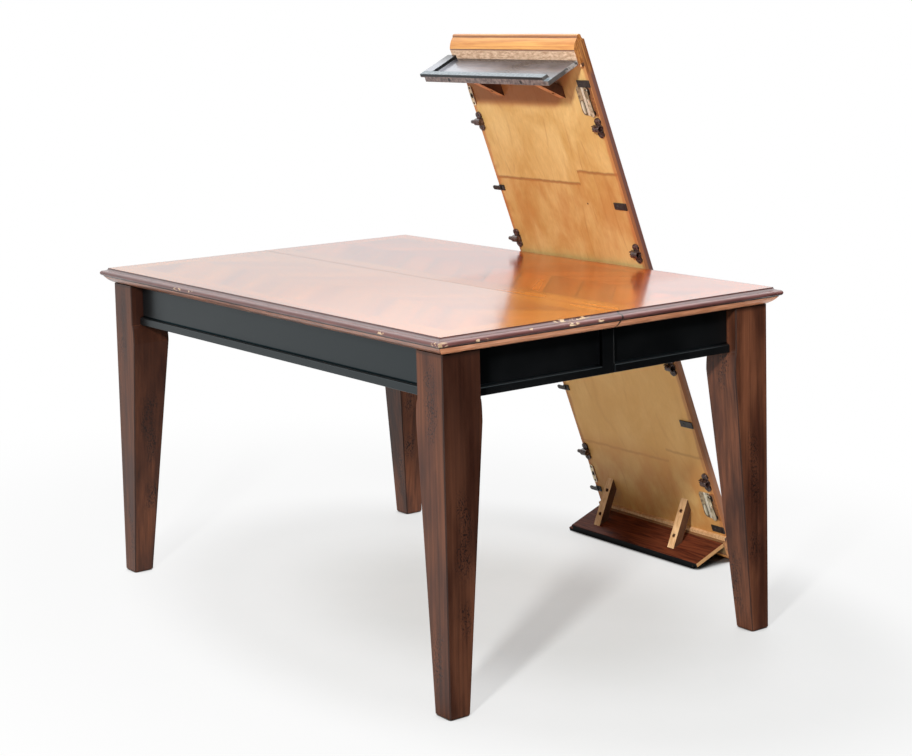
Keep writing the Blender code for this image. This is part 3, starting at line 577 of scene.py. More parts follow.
def moulding_finish():
    """The table's edge: dark purple-brown nose, lighter slope under it, painted light and shade, chipped in a few
    places.
    """
    finish = Finish("dark_moulding", {"Coat Weight": 0.5, "Coat Roughness": 0.18})
    place = finish.coordinates()
    x, _, z = place.parts()
    depth = TOP_Z - z
    streaks = place.grain((18.0, 18.0, 260.0), 4.0, 0.6)
    # Painted light and shade by side: lighter nose and slope colours on the short sides, darker ones on the long
    # sides
    long_side = finish.both_faces(FAR, 0.25, 0.45)
    short_nose = streaks.tone((0.130, 0.044, 0.040), (0.230, 0.094, 0.086))
    # Painted shade on the lower part of the nose on the short sides
    short_nose = short_nose.paint(depth.fade(*UNDER_NOSE_SHADE_SPAN) * 0.75, (0.030, 0.008, 0.007))
    nose = short_nose.paint(long_side, streaks.tone((0.060, 0.015, 0.013), (0.110, 0.032, 0.027)))
    slope = streaks.tone((0.62, 0.235, 0.112), (0.90, 0.420, 0.230))
    slope = slope.paint(long_side, streaks.tone((0.13, 0.042, 0.020), (0.32, 0.115, 0.055)))
    colour = nose.paint(depth.fade(*SLOPE_SPAN), slope)
    # Painted shade in the hollow above the nose, in the quirk under it and at the foot
    dark = most(depth.fade(*HOLLOW_SPAN) * 0.5, depth.line(*QUIRK_LINE), depth.fade(*FOOT_SPAN) * 0.8)
    colour = colour.paint(dark, (0.022, 0.006, 0.005))
    colour = colour.paint(abs(x - SEAM_X).fade(*EDGE_SEAM_SPAN), (0.014, 0.005, 0.004))
    chips = moulding_chips(place)
    colour = colour.paint(chips, place.noise(90.0).blend((0.66, 0.36, 0.12), (0.92, 0.80, 0.58)))
    roughness = chips.pick(place.noise(30.0).varied(0.30, 0.42), 0.8)
    normal = (streaks * 0.12 - chips).bump(0.0004, 0.6)
    return finish.surface(colour=colour, roughness=roughness, normal=normal)


def leg_specks(place, on_short_side):
    """Black specks in one column on each outer face of a leg, in a few bands."""
    x, y, z = place.parts()
    specks = place.stretched((1.0, 1.0, 0.6)).noise(330.0, 2.0, 0.6).fade(0.52, 0.57)
    drift = place.noise(16.0, 2.0) * COLUMN_DRIFT - COLUMN_DRIFT / 2
    column = on_short_side.pick(
        (abs(y) + drift).line(*LONG_FACE_COLUMN_LINE),
        (abs(x - SEAM_X) + drift).line(*SHORT_FACE_COLUMN_LINE),
    )
    bands = on_short_side.pick(
        most(*(z.line(*band) for band in LONG_FACE_BAND_LINES)),
        most(*(z.line(*band) for band in SHORT_FACE_BAND_LINES)),
    )
    return specks * (column * bands)


def leg_finish():
    """The legs: dark red-brown stain with upright streaks, painted shade and light on their sides, and black
    specks.
    """
    finish = Finish("leg_stain", {"IOR": 1.45, "Specular IOR Level": 0.35})
    place = finish.coordinates()
    x, _, z = place.parts()
    streaks = place.grain((130.0, 130.0, 3.0), 4.0, 0.6, 0.3)
    patches = place.grain((22.0, 22.0, 5.0))
    colour = patches.tone((0.052, 0.016, 0.0080), (0.148, 0.050, 0.022), 0.30, 0.72)
    colour = colour.shaded(streaks, 0.50, 1.40)
    on_short_side = finish.both_faces(LEFT)
    near = x.fade(*NEAR_LEG_SPAN)
    # Painted shade: the near legs' short sides get darker towards the top
    depth = z.scaled(*LEG_SHADE_HEIGHT_SPAN, 0.34, 0.82) * near
    colour = colour.paint(on_short_side * depth, (0.016, 0.004, 0.002))
    # Painted light and shade on the far legs: short sides lighter, long sides darker
    colour = colour.gained(near.pick(on_short_side.pick(0.72, 1.15), 1.0))
    # Painted shadow at the top of each leg under the table top; the outer edges are darker too
    dark_outer_edge = abs(x - SEAM_X).fade(*LEG_EDGE_SPAN) * (patches * 0.9)
    shade = most(z.fade(*LEG_TOP_SHADE_SPAN), dark_outer_edge)
    colour = colour.paint(shade * 0.7, (0.012, 0.005, 0.003))
    eased = abs(finish.facing(FAR) * finish.facing(LEFT)).fade(0.15, 0.35)
    colour = colour.paint(eased * 0.8, (0.012, 0.005, 0.003))
    specks = leg_specks(place, on_short_side)
    colour = colour.paint(specks * 0.92, (0.006, 0.003, 0.003))
    roughness = eased.pick(patches.varied(0.36, 0.48), 0.8)
    normal = (streaks * 0.4 - specks).bump(0.0003, 0.5)
    return finish.surface(colour=colour, roughness=roughness, normal=normal)


def lacquer_parts(place, long_axis):
    """Colour, roughness and normal of black satin lacquer with faint grain along an axis."""
    grain = place.grain(tuple(5.0 if axis == long_axis else 240.0 for axis in range(3)), 3.0, 0.6)
    haze = place.noise(7.0)
    colour = haze.tone((0.0022, 0.0023, 0.0026), (0.0046, 0.0048, 0.0052))
    return colour, haze.varied(0.30, 0.40), grain.bump(0.0002, 0.22)


def apron_finish(name, long_axis):
    """The table's aprons: black satin lacquer, matt in the panels' corners, with a painted highlight on the
    lapping stile's edge.
    """
    shine = 0.32 if long_axis == 0 else 0.5
    settings = {"IOR": 1.46, "Specular IOR Level": shine, "Specular Tint": (0.70, 0.92, 1.0, 1.0)}
    finish = Finish(name, settings)
    place = finish.coordinates()
    x, _, z = place.parts()
    colour, roughness, normal = lacquer_parts(place, long_axis)
    matt = finish.faces(UP, 0.10, 0.20) * z.line(*RAIL_CORNER_LINE)
    if long_axis == 0:
        matt = most(matt, finish.faces(-FAR, 0.10, 0.20) * x.line(*STILE_CORNER_LINE))
        # Painted highlight: a thin light line along the edge of the stile that laps over the seam
        colour = colour.paint(x.line(*STILE_HIGHLIGHT_LINE) * z.fade(*STILE_HIGHLIGHT_SPAN), (0.105, 0.110, 0.112))
    return finish.surface(colour=colour, roughness=roughness, metallic=matt, normal=normal)


def upper_apron_wear_and_painted_light(finish, place, colour, roughness):
    """Colour and roughness of the leaf's upper apron: haze and dust with painted sheen and shade, rubbed edge,
    chipped end.
    """
    x, y, z = place.parts()
    wear = place.noise(120.0, 4.0, 0.65)
    on_rail = z.fade(*LEAF_RAIL_SPAN)
    outside = finish.faces(LEAF_UP)
    free_edge = finish.faces(-LEAF_OUT)
    # Grey on the black panel: partly dust haze and partly painted reflection, streaked along the apron
    haze_and_sheen_streaks = place.noise(11.0, 2.0) * 0.7 + place.grain((9.0, 60.0, 60.0), 3.0, 0.6) * 0.3
    panel_haze_and_painted_light = haze_and_sheen_streaks.tone((0.060, 0.055, 0.062), (0.160, 0.148, 0.165), 0.36, 0.62)
    # Painted shade on the panel towards the board and the end moulding
    panel_haze_and_painted_light = panel_haze_and_painted_light.paint(z.fade(*UNDER_TRIM_SHADE_SPAN) * 0.75, (0.026, 0.022, 0.024))
    # Painted reflection: a bright gleam on the panel towards the rail at one end
    gleam = x.fade(*GLEAM_ACROSS_SPAN) * z.fade(*GLEAM_DOWN_SPAN)
    panel_haze_and_painted_light = panel_haze_and_painted_light.paint(gleam * 0.85, (0.560, 0.580, 0.650))
    # The rail is light blue-grey: partly dust, partly painted sheen from the bright room above
    rail_dust_and_sheen = wear.tone((0.160, 0.205, 0.235), (0.330, 0.380, 0.410))
    colour = colour.paint(outside, on_rail.blend(panel_haze_and_painted_light, rail_dust_and_sheen))
    rubbed = wear.tone((0.070, 0.054, 0.050), (0.21, 0.165, 0.150), 0.35, 0.65)
    colour = colour.paint(free_edge * y.fade(*UPPER_BOARD_SPAN), rubbed)
    # Two holes in the free edge painted as dark spots: painted shade in the holes
    colour = colour.paint(oval(abs(x), y, *APRON_HOLE_OVAL) * free_edge, (0.010, 0.008, 0.008))
    right_end = finish.both_faces(LEAF_ACROSS) * x.fade(*RIGHT_END_SPAN)
    colour = colour.paint(right_end, wear.blend((0.050, 0.046, 0.044), (0.130, 0.118, 0.110)))
    chips = right_end * z.fade(*END_CHIP_SPAN) * wear.fade(0.47, 0.52)
    colour = colour.paint(chips, (0.38, 0.345, 0.32))
    return colour, outside.pick(roughness, on_rail.pick(0.15, 0.38))


def leaf_apron_finish(end_name, inward):
    """A leaf apron: black outside and stained inside; the upper one is worn and partly painted light and shade,
    the lower one has bare ends.
    """
    upper = end_name == "upper"
    shine = 0.5 if upper else 0.03
    settings = {"IOR": 1.5, "Specular IOR Level": shine, "Specular Tint": (0.84, 0.95, 1.0, 1.0)}
    finish = Finish(f"leaf_{end_name}_lacquer", settings)
    place = finish.coordinates(LEAF_MATRIX)
    colour, roughness, normal = lacquer_parts(place, 0)
    grain = place.grain((7.0, 60.0, 95.0), 4.0, 0.6, 1.6)
    if upper:
        colour, roughness = upper_apron_wear_and_painted_light(finish, place, colour, roughness)
    else:
        board = finish.both_faces(LEAF_ACROSS) * place.parts()[1].fade(*LOWER_BOARD_SPAN)
        colour = colour.paint(board, grain.blend((0.46, 0.23, 0.09), (0.66, 0.39, 0.18)))
    inside = finish.faces(LEAF_UP * inward, 0.4, 0.6)
    colour = colour.paint(inside, grain.tone((0.060, 0.014, 0.008), (0.190, 0.050, 0.022)))
    return finish.surface(colour=colour, roughness=roughness, normal=normal)


def ply_colour(place):
    """Mottled honey plywood with a faint figure up the leaf."""
    wide = place.grain((9.0, 5.0, 1.0), 4.0, 0.6, 0.6)
    flame = place.grain((26.0, 4.0, 1.0), 3.0, 0.5, 1.4)
    fine = place.grain((210.0, 50.0, 1.0), 3.0, 0.6)
    colour = wide.tone((0.52, 0.310, 0.090), (0.68, 0.485, 0.196))
    colour = colour.paint(flame.fade(0.56, 0.68) * 0.15, (0.44, 0.185, 0.048))
    swell = place.grain((7.0, 1.7, 1.0), 1.0, 0.4)
    arches = (swell * 9.0).math("PINGPONG", 0.5).fade(0.10, 0.0) * flame.fade(0.42, 0.60)
    return colour.paint(arches * 0.36, (0.34, 0.150, 0.045)).shaded(fine, 0.93, 1.06)


def leaf_underside(place):
    """Colour of the leaf's underside: plywood, stepped joints, tinged sheets, stained edges, a painted shadow and
    painted light.
    """
    x, y, _ = place.parts()
    colour = ply_colour(place)
    wavy = place.grain((24.0, 3.0, 1.0), 3.0, 0.6) * JOINT_RIPPLE + y
    for step, left_height, right_height in PLY_JOINTS:
        for side, height in ((x.over(step), left_height), (x.under(step), right_height)):
            crack = wavy.line(height + JOINT_RIPPLE / 2, CRACK_HALF_WIDTH, CRACK_SOFT) * side
            colour = colour.paint(crack * 0.75, (0.22, 0.085, 0.026))
    blotch = place.grain((14.0, 7.0, 1.0), 4.0, 0.6).fade(0.35, 0.65)
    step, left_height, right_height = PLY_JOINTS[0]
    tinge_top = x.over(step).pick(right_height + TINGE_RISE, left_height + TINGE_RISE)
    tinge = (wavy - tinge_top).fade(*TINGE_EDGE_SPAN) * y.fade(*TINGE_FOOT_SPAN)
    colour = colour.paint(tinge * blotch.pick(0.14, 0.64), (0.43, 0.175, 0.034))
    low_sheet = wavy.fade(*LOW_SHEET_SPAN) * blotch.pick(0.35, 0.75)
    colour = colour.paint(low_sheet, (0.46, 0.170, 0.034))
    # Painted shadow of the upper apron on the plywood below it
    apron_shadow = (y * APRON_SHADOW_SLANT + x).fade(*APRON_SHADOW_SLANT_SPAN) * y.fade(*APRON_SHADOW_FOOT_SPAN)
    colour = colour.paint(apron_shadow * 0.70, (0.32, 0.105, 0.030))
    # Painted light: a lighter band across the plywood
    colour = colour.paint(y.line(*PAINTED_LIGHT_BAND_LINE) * 0.5, (0.94, 0.500, 0.150))
    from_edge = LEAF_HALF_WIDTH - abs(x)
    stained = (from_edge - place.grain((4.0, 14.0, 1.0)) * STAIN_REACH).fade(*STAIN_SPAN)
    colour = colour.paint(stained * 0.65, (0.40, 0.130, 0.040))
    # A pinhole painted as a dark spot: painted shade in the hole
    return colour.paint(x.line(*PINHOLE_X_LINE) * y.line(*PINHOLE_Y_LINE), (0.03, 0.012, 0.006))


def leaf_panel_finish():
    """The leaf's board: plywood under, veneer on top and stained long edges."""
    finish = Finish("leaf_board", {"Coat Roughness": 0.06, "Coat IOR": 1.6, "IOR": 1.5})
    place = finish.coordinates(LEAF_MATRIX)
    x, y, z = place.parts()
    veneer = matched_veneer(finish, x + LEAF_HALF_WIDTH, y, 2 * LEAF_HALF_WIDTH, 1.0)
    on_top = finish.faces(LEAF_OUT, 0.4, 0.6)
    colour = leaf_underside(place).paint(on_top, veneer)
    grain = place.grain((1.0, 9.0, 300.0))
    edge = grain.blend((0.105, 0.046, 0.036), (0.205, 0.094, 0.074))
    edge = edge.paint(y.fade(*TAN_EDGE_SPAN), grain.blend((0.26, 0.115, 0.062), (0.42, 0.200, 0.115)))
    edge = edge.paint(z.fade(*BARE_EDGE_SPAN), grain.blend((0.24, 0.080, 0.030), (0.46, 0.185, 0.072)))
    sawn = grain.tone((0.18, 0.055, 0.014), (0.50, 0.215, 0.058), 0.35, 0.65)
    edge = edge.paint(y.fade(*SAWN_EDGE_SPAN), sawn)
    colour = colour.paint(finish.both_faces(LEAF_ACROSS, 0.4, 0.6), edge)
    return finish.surface(colour=colour, roughness=on_top.pick(0.55, 0.24), coat=on_top)


def leaf_trim_finish(name, inward, raw_dark, raw_light):
    """The leaf's end mouldings: orange varnish, raw wood on the flat underside, dark grain on sawn ends, painted
    shade in a quirk and on the inner face.
    """
    finish = Finish(name, {"Coat Weight": 0.3, "Coat Roughness": 0.2})
    place = finish.coordinates(LEAF_MATRIX)
    _, y, z = place.parts()
    grain = place.grain((6.0, 180.0, 180.0), 4.0, 0.6, 0.4)
    colour = grain.tone((0.52, 0.190, 0.045), (0.80, 0.400, 0.110), 0.28, 0.72)
    depth = z * -1.0
    # Painted shade in the quirk at the bottom of the nose
    colour = colour.paint(depth.line(*TRIM_QUIRK_LINE) * 0.75, (0.22, 0.070, 0.020))
    colour = colour.paint(depth.fade(*ABOVE_NOSE_SPAN) * 0.55, (0.20, 0.060, 0.025))
    flat_under = finish.faces(-LEAF_OUT, 0.90, 0.96)
    fibre = place.grain((60.0, 170.0, 1.0), 4.0, 0.7)
    raw = fibre.tone(raw_dark, raw_light, 0.32, 0.68)
    torn = (fibre * TORN_DRIFT + abs(y)).fade(*TORN_SPAN)
    colour = colour.paint(flat_under, raw.paint(torn * 0.85, (0.16, 0.060, 0.030)))
    # Painted shade on the inner face, where the moulding meets the board
    colour = colour.paint(finish.faces(LEAF_UP * inward, 0.93, 0.98), (0.20, 0.090, 0.034))
    rings = place.grain((1.0, 60.0, 260.0), 3.0, 0.6, 1.0)
    end_grain = rings.tone((0.24, 0.075, 0.018), (0.56, 0.24, 0.065), 0.35, 0.65)
    colour = colour.paint(finish.both_faces(LEAF_ACROSS), end_grain)
    roughness = flat_under.pick(0.36, 0.85)
    return finish.surface(colour=colour, roughness=roughness, normal=grain.bump(0.0003, 0.3))


def bare_wood_finish(name, dark, light, scales):
    """Bare wood with grain along the axis of the smallest scale."""
    finish = Finish(name, {"Roughness": 0.66})
    grain = finish.coordinates().grain(scales, 4.0, 0.6, 0.4)
    return finish.surface(colour=grain.tone(dark, light, 0.28, 0.72), normal=grain.bump(0.0003, 0.35))


def brace_finish(name, side_dark, side_light):
    """A brace: light tan wood on its slanted faces, darker on its two sides."""
    finish = Finish(name, {"Roughness": 0.62})
    grain = finish.coordinates(LEAF_MATRIX).grain((150.0, 34.0, 34.0), 4.0, 0.6, 0.4)
    colour = grain.tone((0.54, 0.29, 0.12), (0.76, 0.49, 0.26), 0.28, 0.72)
    colour = colour.paint(finish.both_faces(LEAF_ACROSS), grain.tone(side_dark, side_light, 0.28, 0.72))
    return finish.surface(colour=colour, normal=grain.bump(0.0003, 0.3))


def metal_finish(name, dark, light, roughness):
    """Plated metal with tarnish and a slightly uneven polish."""
    finish = Finish(name, {"Metallic": 1.0})
    tarnish = finish.coordinates().noise(160.0, 3.0, 0.6)
    polish = tarnish.varied(roughness + 0.10, roughness - 0.06)
    return finish.surface(colour=tarnish.tone(dark, light), roughness=polish)


def plastic_finish(name, dark, light, roughness):
    """Moulded plastic with a fine, slightly dusty skin."""
    finish = Finish(name, {"IOR": 1.48})
    dust = finish.coordinates().noise(140.0, 3.0, 0.6)
    colour = dust.tone(dark, light, 0.35, 0.70)
    skin = dust.varied(roughness - 0.06, roughness + 0.10)
    return finish.surface(colour=colour, roughness=skin, normal=dust.bump(0.0002, 0.2))


def plate_frame(centre, turned):
    """Frame of a small plate: x across it and y along it, from the leaf's frame or from the table's."""
    turn = LEAF_MATRIX.to_3x3().to_4x4() if turned else Matrix.Identity(4)
    return Matrix.Translation(centre) @ turn


def strike_finish(name, centre, turned):
    """A pale plated strike: a dark screw near each end, a pocket round its stud painted dark and a painted shadow
    on one side.
    """
    finish = Finish(name, {"Metallic": 0.35})
    place = finish.coordinates(plate_frame(centre, turned))
    x, y, _ = place.parts()
    tarnish = place.noise(160.0, 3.0, 0.6)
    colour = tarnish.tone((0.58, 0.46, 0.28), (0.84, 0.74, 0.52))
    # Painted shadow along one side of the strike
    colour = colour.paint(x.fade(*STRIKE_SHADOW_SPAN), (0.16, 0.050, 0.026))
    # Dark screws, and painted shade in the pocket round the stud
    marks = most(oval(x, abs(y), *STRIKE_SCREW_OVAL), oval(x, y, *STRIKE_POCKET_OVAL))
    colour = colour.paint(marks, (0.030, 0.022, 0.015))
    return finish.surface(colour=colour, roughness=tarnish.varied(0.46, 0.32))


def lock_finish(name, centre, turned):
    """A stamped lock plate: red brass strip with a slot and a screw by the edge, bent steel inboard of it, painted
    highlights and shade.
    """
    finish = Finish(name, {"Metallic": 0.5})
    place = finish.coordinates(plate_frame(centre, turned))
    x, y, _ = place.parts()
    tarnish = place.noise(160.0, 3.0, 0.6)
    colour = tarnish.tone((0.20, 0.18, 0.13), (0.46, 0.42, 0.31))
    brass = tarnish.tone((0.22, 0.085, 0.035), (0.44, 0.200, 0.080))
    colour = colour.paint(x.fade(*LOCK_STRIP_SPAN), brass)
    # Painted highlights along the plate's bends
    bend_highlights = most(*(x.line(*bend) for bend in LOCK_BEND_HIGHLIGHT_LINES))
    colour = colour.paint(bend_highlights * 0.9, (0.95, 0.89, 0.72))
    # Painted shade: a dark patch between the bends and the slot painted dark; the screw is dark too
    shade = oval(x, y, *LOCK_SHADE_OVAL) * 0.8
    marks = most(oval(x, y, *LOCK_SLOT_OVAL), oval(x, y, *LOCK_SCREW_OVAL), shade)
    colour = colour.paint(marks, (0.012, 0.009, 0.007))
    return finish.surface(colour=colour, roughness=tarnish.varied(0.44, 0.30))


def lever_finish(name, axis):
    """A lever: bright worn brass on its flat faces, tarnished dark on its sides."""
    finish = Finish(name, {"Metallic": 0.55})
    tarnish = finish.coordinates().noise(60.0, 3.0, 0.6)
    bright = tarnish.tone((0.26, 0.205, 0.120), (0.72, 0.640, 0.460), 0.35, 0.65)
    colour = finish.both_faces(axis, 0.75, 0.95).blend((0.070, 0.048, 0.028), bright)
    return finish.surface(colour=colour, roughness=tarnish.varied(0.42, 0.28))


def housing_finish():
    """The stamped side of a lock: mottled plating, a painted highlight on its bent rim and a pressed boss painted
    in light and shade.
    """
    finish = Finish("lock_housing_plating", {"Metallic": 0.4})
    place = finish.coordinates()
    x, y, _ = place.parts()
    tarnish = place.noise(110.0, 3.0, 0.6)
    colour = tarnish.tone((0.15, 0.105, 0.060), (0.42, 0.330, 0.200), 0.35, 0.65)
    # Painted highlight along the bent rim
    colour = colour.paint(x.fade(*HOUSING_RIM_HIGHLIGHT_SPAN) * 0.8, (0.95, 0.90, 0.74))
    # A pressed boss painted on: a dark ring round it, then painted light and shade across it
    ring = oval(x, y, BOSS_CENTRE, tuple(radius + BOSS_RING for radius in BOSS_RADII))
    colour = colour.paint(ring, (0.060, 0.045, 0.026))
    across = x - BOSS_CENTRE[0]
    shine = across.tone((0.17, 0.15, 0.09), (0.82, 0.78, 0.60), -BOSS_RADII[0], BOSS_RADII[0] * 0.8)
    colour = colour.paint(oval(x, y, BOSS_CENTRE, BOSS_RADII), shine)
    return finish.surface(colour=colour, roughness=tarnish.varied(0.44, 0.30))


# Shapes

def prism(outline, low, high):
    """Rings of an outline in x and y, from one height to another."""
    return [[(x, y, z) for x, y in outline] for z in (low, high)]


def bar(section, start, end):
    """Rings of a section in y and z, from one x to another."""
    return [[(x, y, z) for y, z in section] for x in (start, end)]


def arc(centre, radius, start, end, steps):
    """Points along an arc, both ends included."""
    angles = [start + (end - start) * step / steps for step in range(steps + 1)]
    return [(centre[0] + radius * cos(angle), centre[1] + radius * sin(angle)) for angle in angles]


def circle(centre, radius):
    """Points once round a circle."""
    turns = [2 * pi * step / ROUND_STEPS for step in range(ROUND_STEPS)]
    return [(centre[0] + radius * cos(turn), centre[1] + radius * sin(turn)) for turn in turns]


def turned_along_x(profile, y, z):
    """Rings turned about a line along x, from pairs of x and radius."""
    return [[(x, *point) for point in circle((y, z), radius)] for x, radius in profile]


def turned_along_z(profile, x, y):
    """Rings turned about a line along z, from pairs of z and radius."""
    return [[(*point, z) for point in circle((x, y), radius)] for z, radius in profile]


def add_shell(bm, rings):
    """One closed skin through a row of rings."""
    loops = [[bm.verts.new(point) for point in ring] for ring in rings]
    for lower, upper in zip(loops, loops[1:]):
        for index in range(len(lower)):
            after = (index + 1) % len(lower)
            bm.faces.new((lower[index], lower[after], upper[after], upper[index]))
    bm.faces.new(tuple(reversed(loops[0])))
    bm.faces.new(tuple(loops[-1]))


def new_object(name, data):
    """A new object in the scene."""
    made = bpy.data.objects.new(name, data)
    bpy.context.scene.collection.objects.link(made)
    return made


def add_piece(name, shells, finish, matrix, body):
    """A fitting made of closed shells, eased at its edges, riding on a body."""
    bm = bmesh.new()
    for rings in shells:
        add_shell(bm, rings)
    bmesh.ops.recalc_face_normals(bm, faces=bm.faces[:])
    mesh = bpy.data.meshes.new(name)
    bm.to_mesh(mesh)
    bm.free()
    mesh.materials.append(finish)
    mesh.shade_smooth()
    mesh.set_sharp_from_angle(angle=FITTING_SHARP_ANGLE)
    piece = new_object(name, mesh)
    piece.matrix_world = matrix
    bevel = piece.modifiers.new("eased_edges", "BEVEL")
    bevel.width = FITTING_EASE
    bevel.segments = 2
    bevel.limit_method = "ANGLE"
    bevel.angle_limit = FITTING_SHARP_ANGLE
    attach(piece, body)


# Fittings, with x pointing out past the edge, y along it and z down from the underside

def screw_head(x, y, z):
    """A low screw head with a dished middle."""
    profile = [(z + SCREW_RISE * rise, SCREW_RADIUS * radius) for rise, radius in SCREW_PROFILE]
    return turned_along_z(profile, x, y)


def flange_shells():
    """The lobed base that pins and sockets share, with its two screws."""
    outline = arc((FLANGE_CENTRE, LOBE_REACH), LOBE_RADIUS, -pi / 4, 1.25 * pi, LOBE_STEPS)
    outline += arc((FLANGE_CENTRE, -LOBE_REACH), LOBE_RADIUS, 0.75 * pi, 2.25 * pi, LOBE_STEPS)
    screws = [screw_head(FLANGE_CENTRE, y, LOBE_THICK) for y in (-LOBE_SCREW_REACH, LOBE_SCREW_REACH)]
    return [prism(outline, SEAT_GAP, LOBE_THICK)] + screws


def barrel_section():
    """An arch that stands on the underside."""
    arch = arc((0.0, PIN_DROP), BARREL_RADIUS, pi, 0.0, BARREL_STEPS)
    return [(-BARREL_FOOT, SEAT_GAP)] + arch + [(BARREL_FOOT, SEAT_GAP)]


def pin_shells():
    """An alignment pin: lobed base, barrel, and a tapered pin past the edge."""
    profile = [(BARREL_START / 2, PIN_RADIUS)]
    profile += [(PIN_LENGTH * length, PIN_RADIUS * radius) for length, radius in PIN_PROFILE]
    barrel = bar(barrel_section(), BARREL_START, 0.0)
    return flange_shells() + [barrel, turned_along_x(profile, 0.0, PIN_DROP)]


def socket_shells():
    """An alignment socket: lobed base, open barrel and three fins behind it."""
    outer, inner = BARREL_RADIUS, SOCKET_RADIUS
    depth = BARREL_START + SOCKET_BACK
    profile = [(BARREL_START, outer), (-SEAT_GAP, outer), (-SEAT_GAP, inner), (depth, inner)]
    shells = flange_shells() + [turned_along_x(profile, 0.0, PIN_DROP)]
    for step in (-1, 0, 1):
        y = step * FIN_STEP
        half = FIN_THICK / 2
        section = [(y - half, SEAT_GAP), (y + half, SEAT_GAP), (y + half, FIN_DROP), (y - half, FIN_DROP)]
        shells.append(bar(section, BARREL_START - FIN_LENGTH, BARREL_START))
    return shells


def plate_outline(start, end, half_width, round_radius):
    """A strip along x with a rounded outer end."""
    corner_x = end - round_radius
    corner_y = half_width - round_radius
    outline = [(start, -half_width), (corner_x, -half_width)]
    outline += arc((corner_x, -corner_y), round_radius, -pi / 2, 0.0, CORNER_STEPS)[1:]
    outline += arc((corner_x, corner_y), round_radius, 0.0, pi / 2, CORNER_STEPS)
    return outline + [(start, half_width)]


def finger_shells():
    """A tab whose finger reaches past the edge, stepped down to slide over the plate across the seam."""
    base = plate_outline(-FINGER_BASE, FINGER_BASE_END, FINGER_BASE_HALF_WIDTH, TAB_ROUND)
    finger = plate_outline(-FINGER_BASE / 2, FINGER_LENGTH, FINGER_HALF_WIDTH, FINGER_ROUND)
    return [
        prism(base, SEAT_GAP, TAB_THICK),
        prism(finger, FINGER_DROP, FINGER_DROP + TAB_THICK),
        screw_head(FINGER_SCREW, 0.0, TAB_THICK),
    ]


def plate_shells():
    """The plain tab that a finger slides over."""
    outline = plate_outline(-PLATE_REACH, PLATE_END, PLATE_HALF_WIDTH, TAB_ROUND)
    return [prism(outline, SEAT_GAP, TAB_THICK), screw_head(PLATE_SCREW, 0.0, TAB_THICK)]


def housing_shells():
    """The stamped side of a lock, a thin plate beside the lock plate and lower than the lever."""
    outline = plate_outline(HOUSING_START, HOUSING_END, HOUSING_HALF_LENGTH, HOUSING_ROUND)
    return [prism(outline, SEAT_GAP, HOUSING_THICK)]


def edge_matrix(origin, out, along, place):
    """Frame of a fitting on an edge: x out, y along, z down from the underside."""
    down = out.cross(along)
    matrix = Matrix((out, along, down)).transposed().to_4x4()
    matrix.translation = origin + along * place
    return matrix


def add_edge_fittings(prefix, body, origin, out, along, fittings):
    """All pins or sockets, and all tabs, along one edge."""
    for kind, places, shells, finish in fittings:
        for index, place in enumerate(places):
            matrix = edge_matrix(origin, out, along, place)
            add_piece(f"{prefix}_{kind}_{index}", shells, finish, matrix, body)


def add_lock_housing(joint, body, out, along, finish):
    """The housing of one lock, placed by the lock's joint."""
    matrix = edge_matrix(Vector(JOINTS[joint]["pos_m"]), out, along, HOUSING_SHIFT)
    add_piece(f"{joint}_housing", housing_shells(), finish, matrix, body)


def add_all_fittings():
    """Fittings on both long edges of the leaf and on both sides of the seam."""
    brown = plastic_finish("brown_plastic", (0.022, 0.009, 0.007), (0.095, 0.050, 0.040), 0.24)
    black = plastic_finish("black_plastic", (0.008, 0.007, 0.006), (0.030, 0.026, 0.024), 0.40)
    male = (("pin", PIN_PLACES, pin_shells(), brown), ("tab", FINGER_PLACES, finger_shells(), black))
    female = (("socket", PIN_PLACES, socket_shells(), brown), ("tab", PLATE_PLACES, plate_shells(), black))
    under_leaf = LEAF_MATRIX.translation - LEAF_OUT * PANEL_THICK
    left = under_leaf + LEAF_ACROSS * LEAF_HALF_WIDTH
    right = under_leaf - LEAF_ACROSS * LEAF_HALF_WIDTH
    add_edge_fittings("leaf_left", "leaf", left, LEAF_ACROSS, -LEAF_UP, male)
    add_edge_fittings("leaf_right", "leaf", right, -LEAF_ACROSS, LEAF_UP, female)
    under_near = Vector((NEAR_TOP_HIGH.x, 0.0, NEAR_TOP_LOW.z))
    under_far = Vector((FAR_TOP_LOW.x, 0.0, FAR_TOP_LOW.z))
    add_edge_fittings("near_half", "near_half", under_near, FAR, -LEFT, male)
    add_edge_fittings("far_half", "far_half", under_far, -FAR, LEFT, female)
    housing = housing_finish()
    for end_name in ("upper", "lower"):
        add_lock_housing(f"leaf_{end_name}_lock", "leaf", LEAF_ACROSS, -LEAF_UP, housing)
    for hand_name in ("left", "right"):
        add_lock_housing(f"table_{hand_name}_lock", "far_half", FAR, -LEFT, housing)


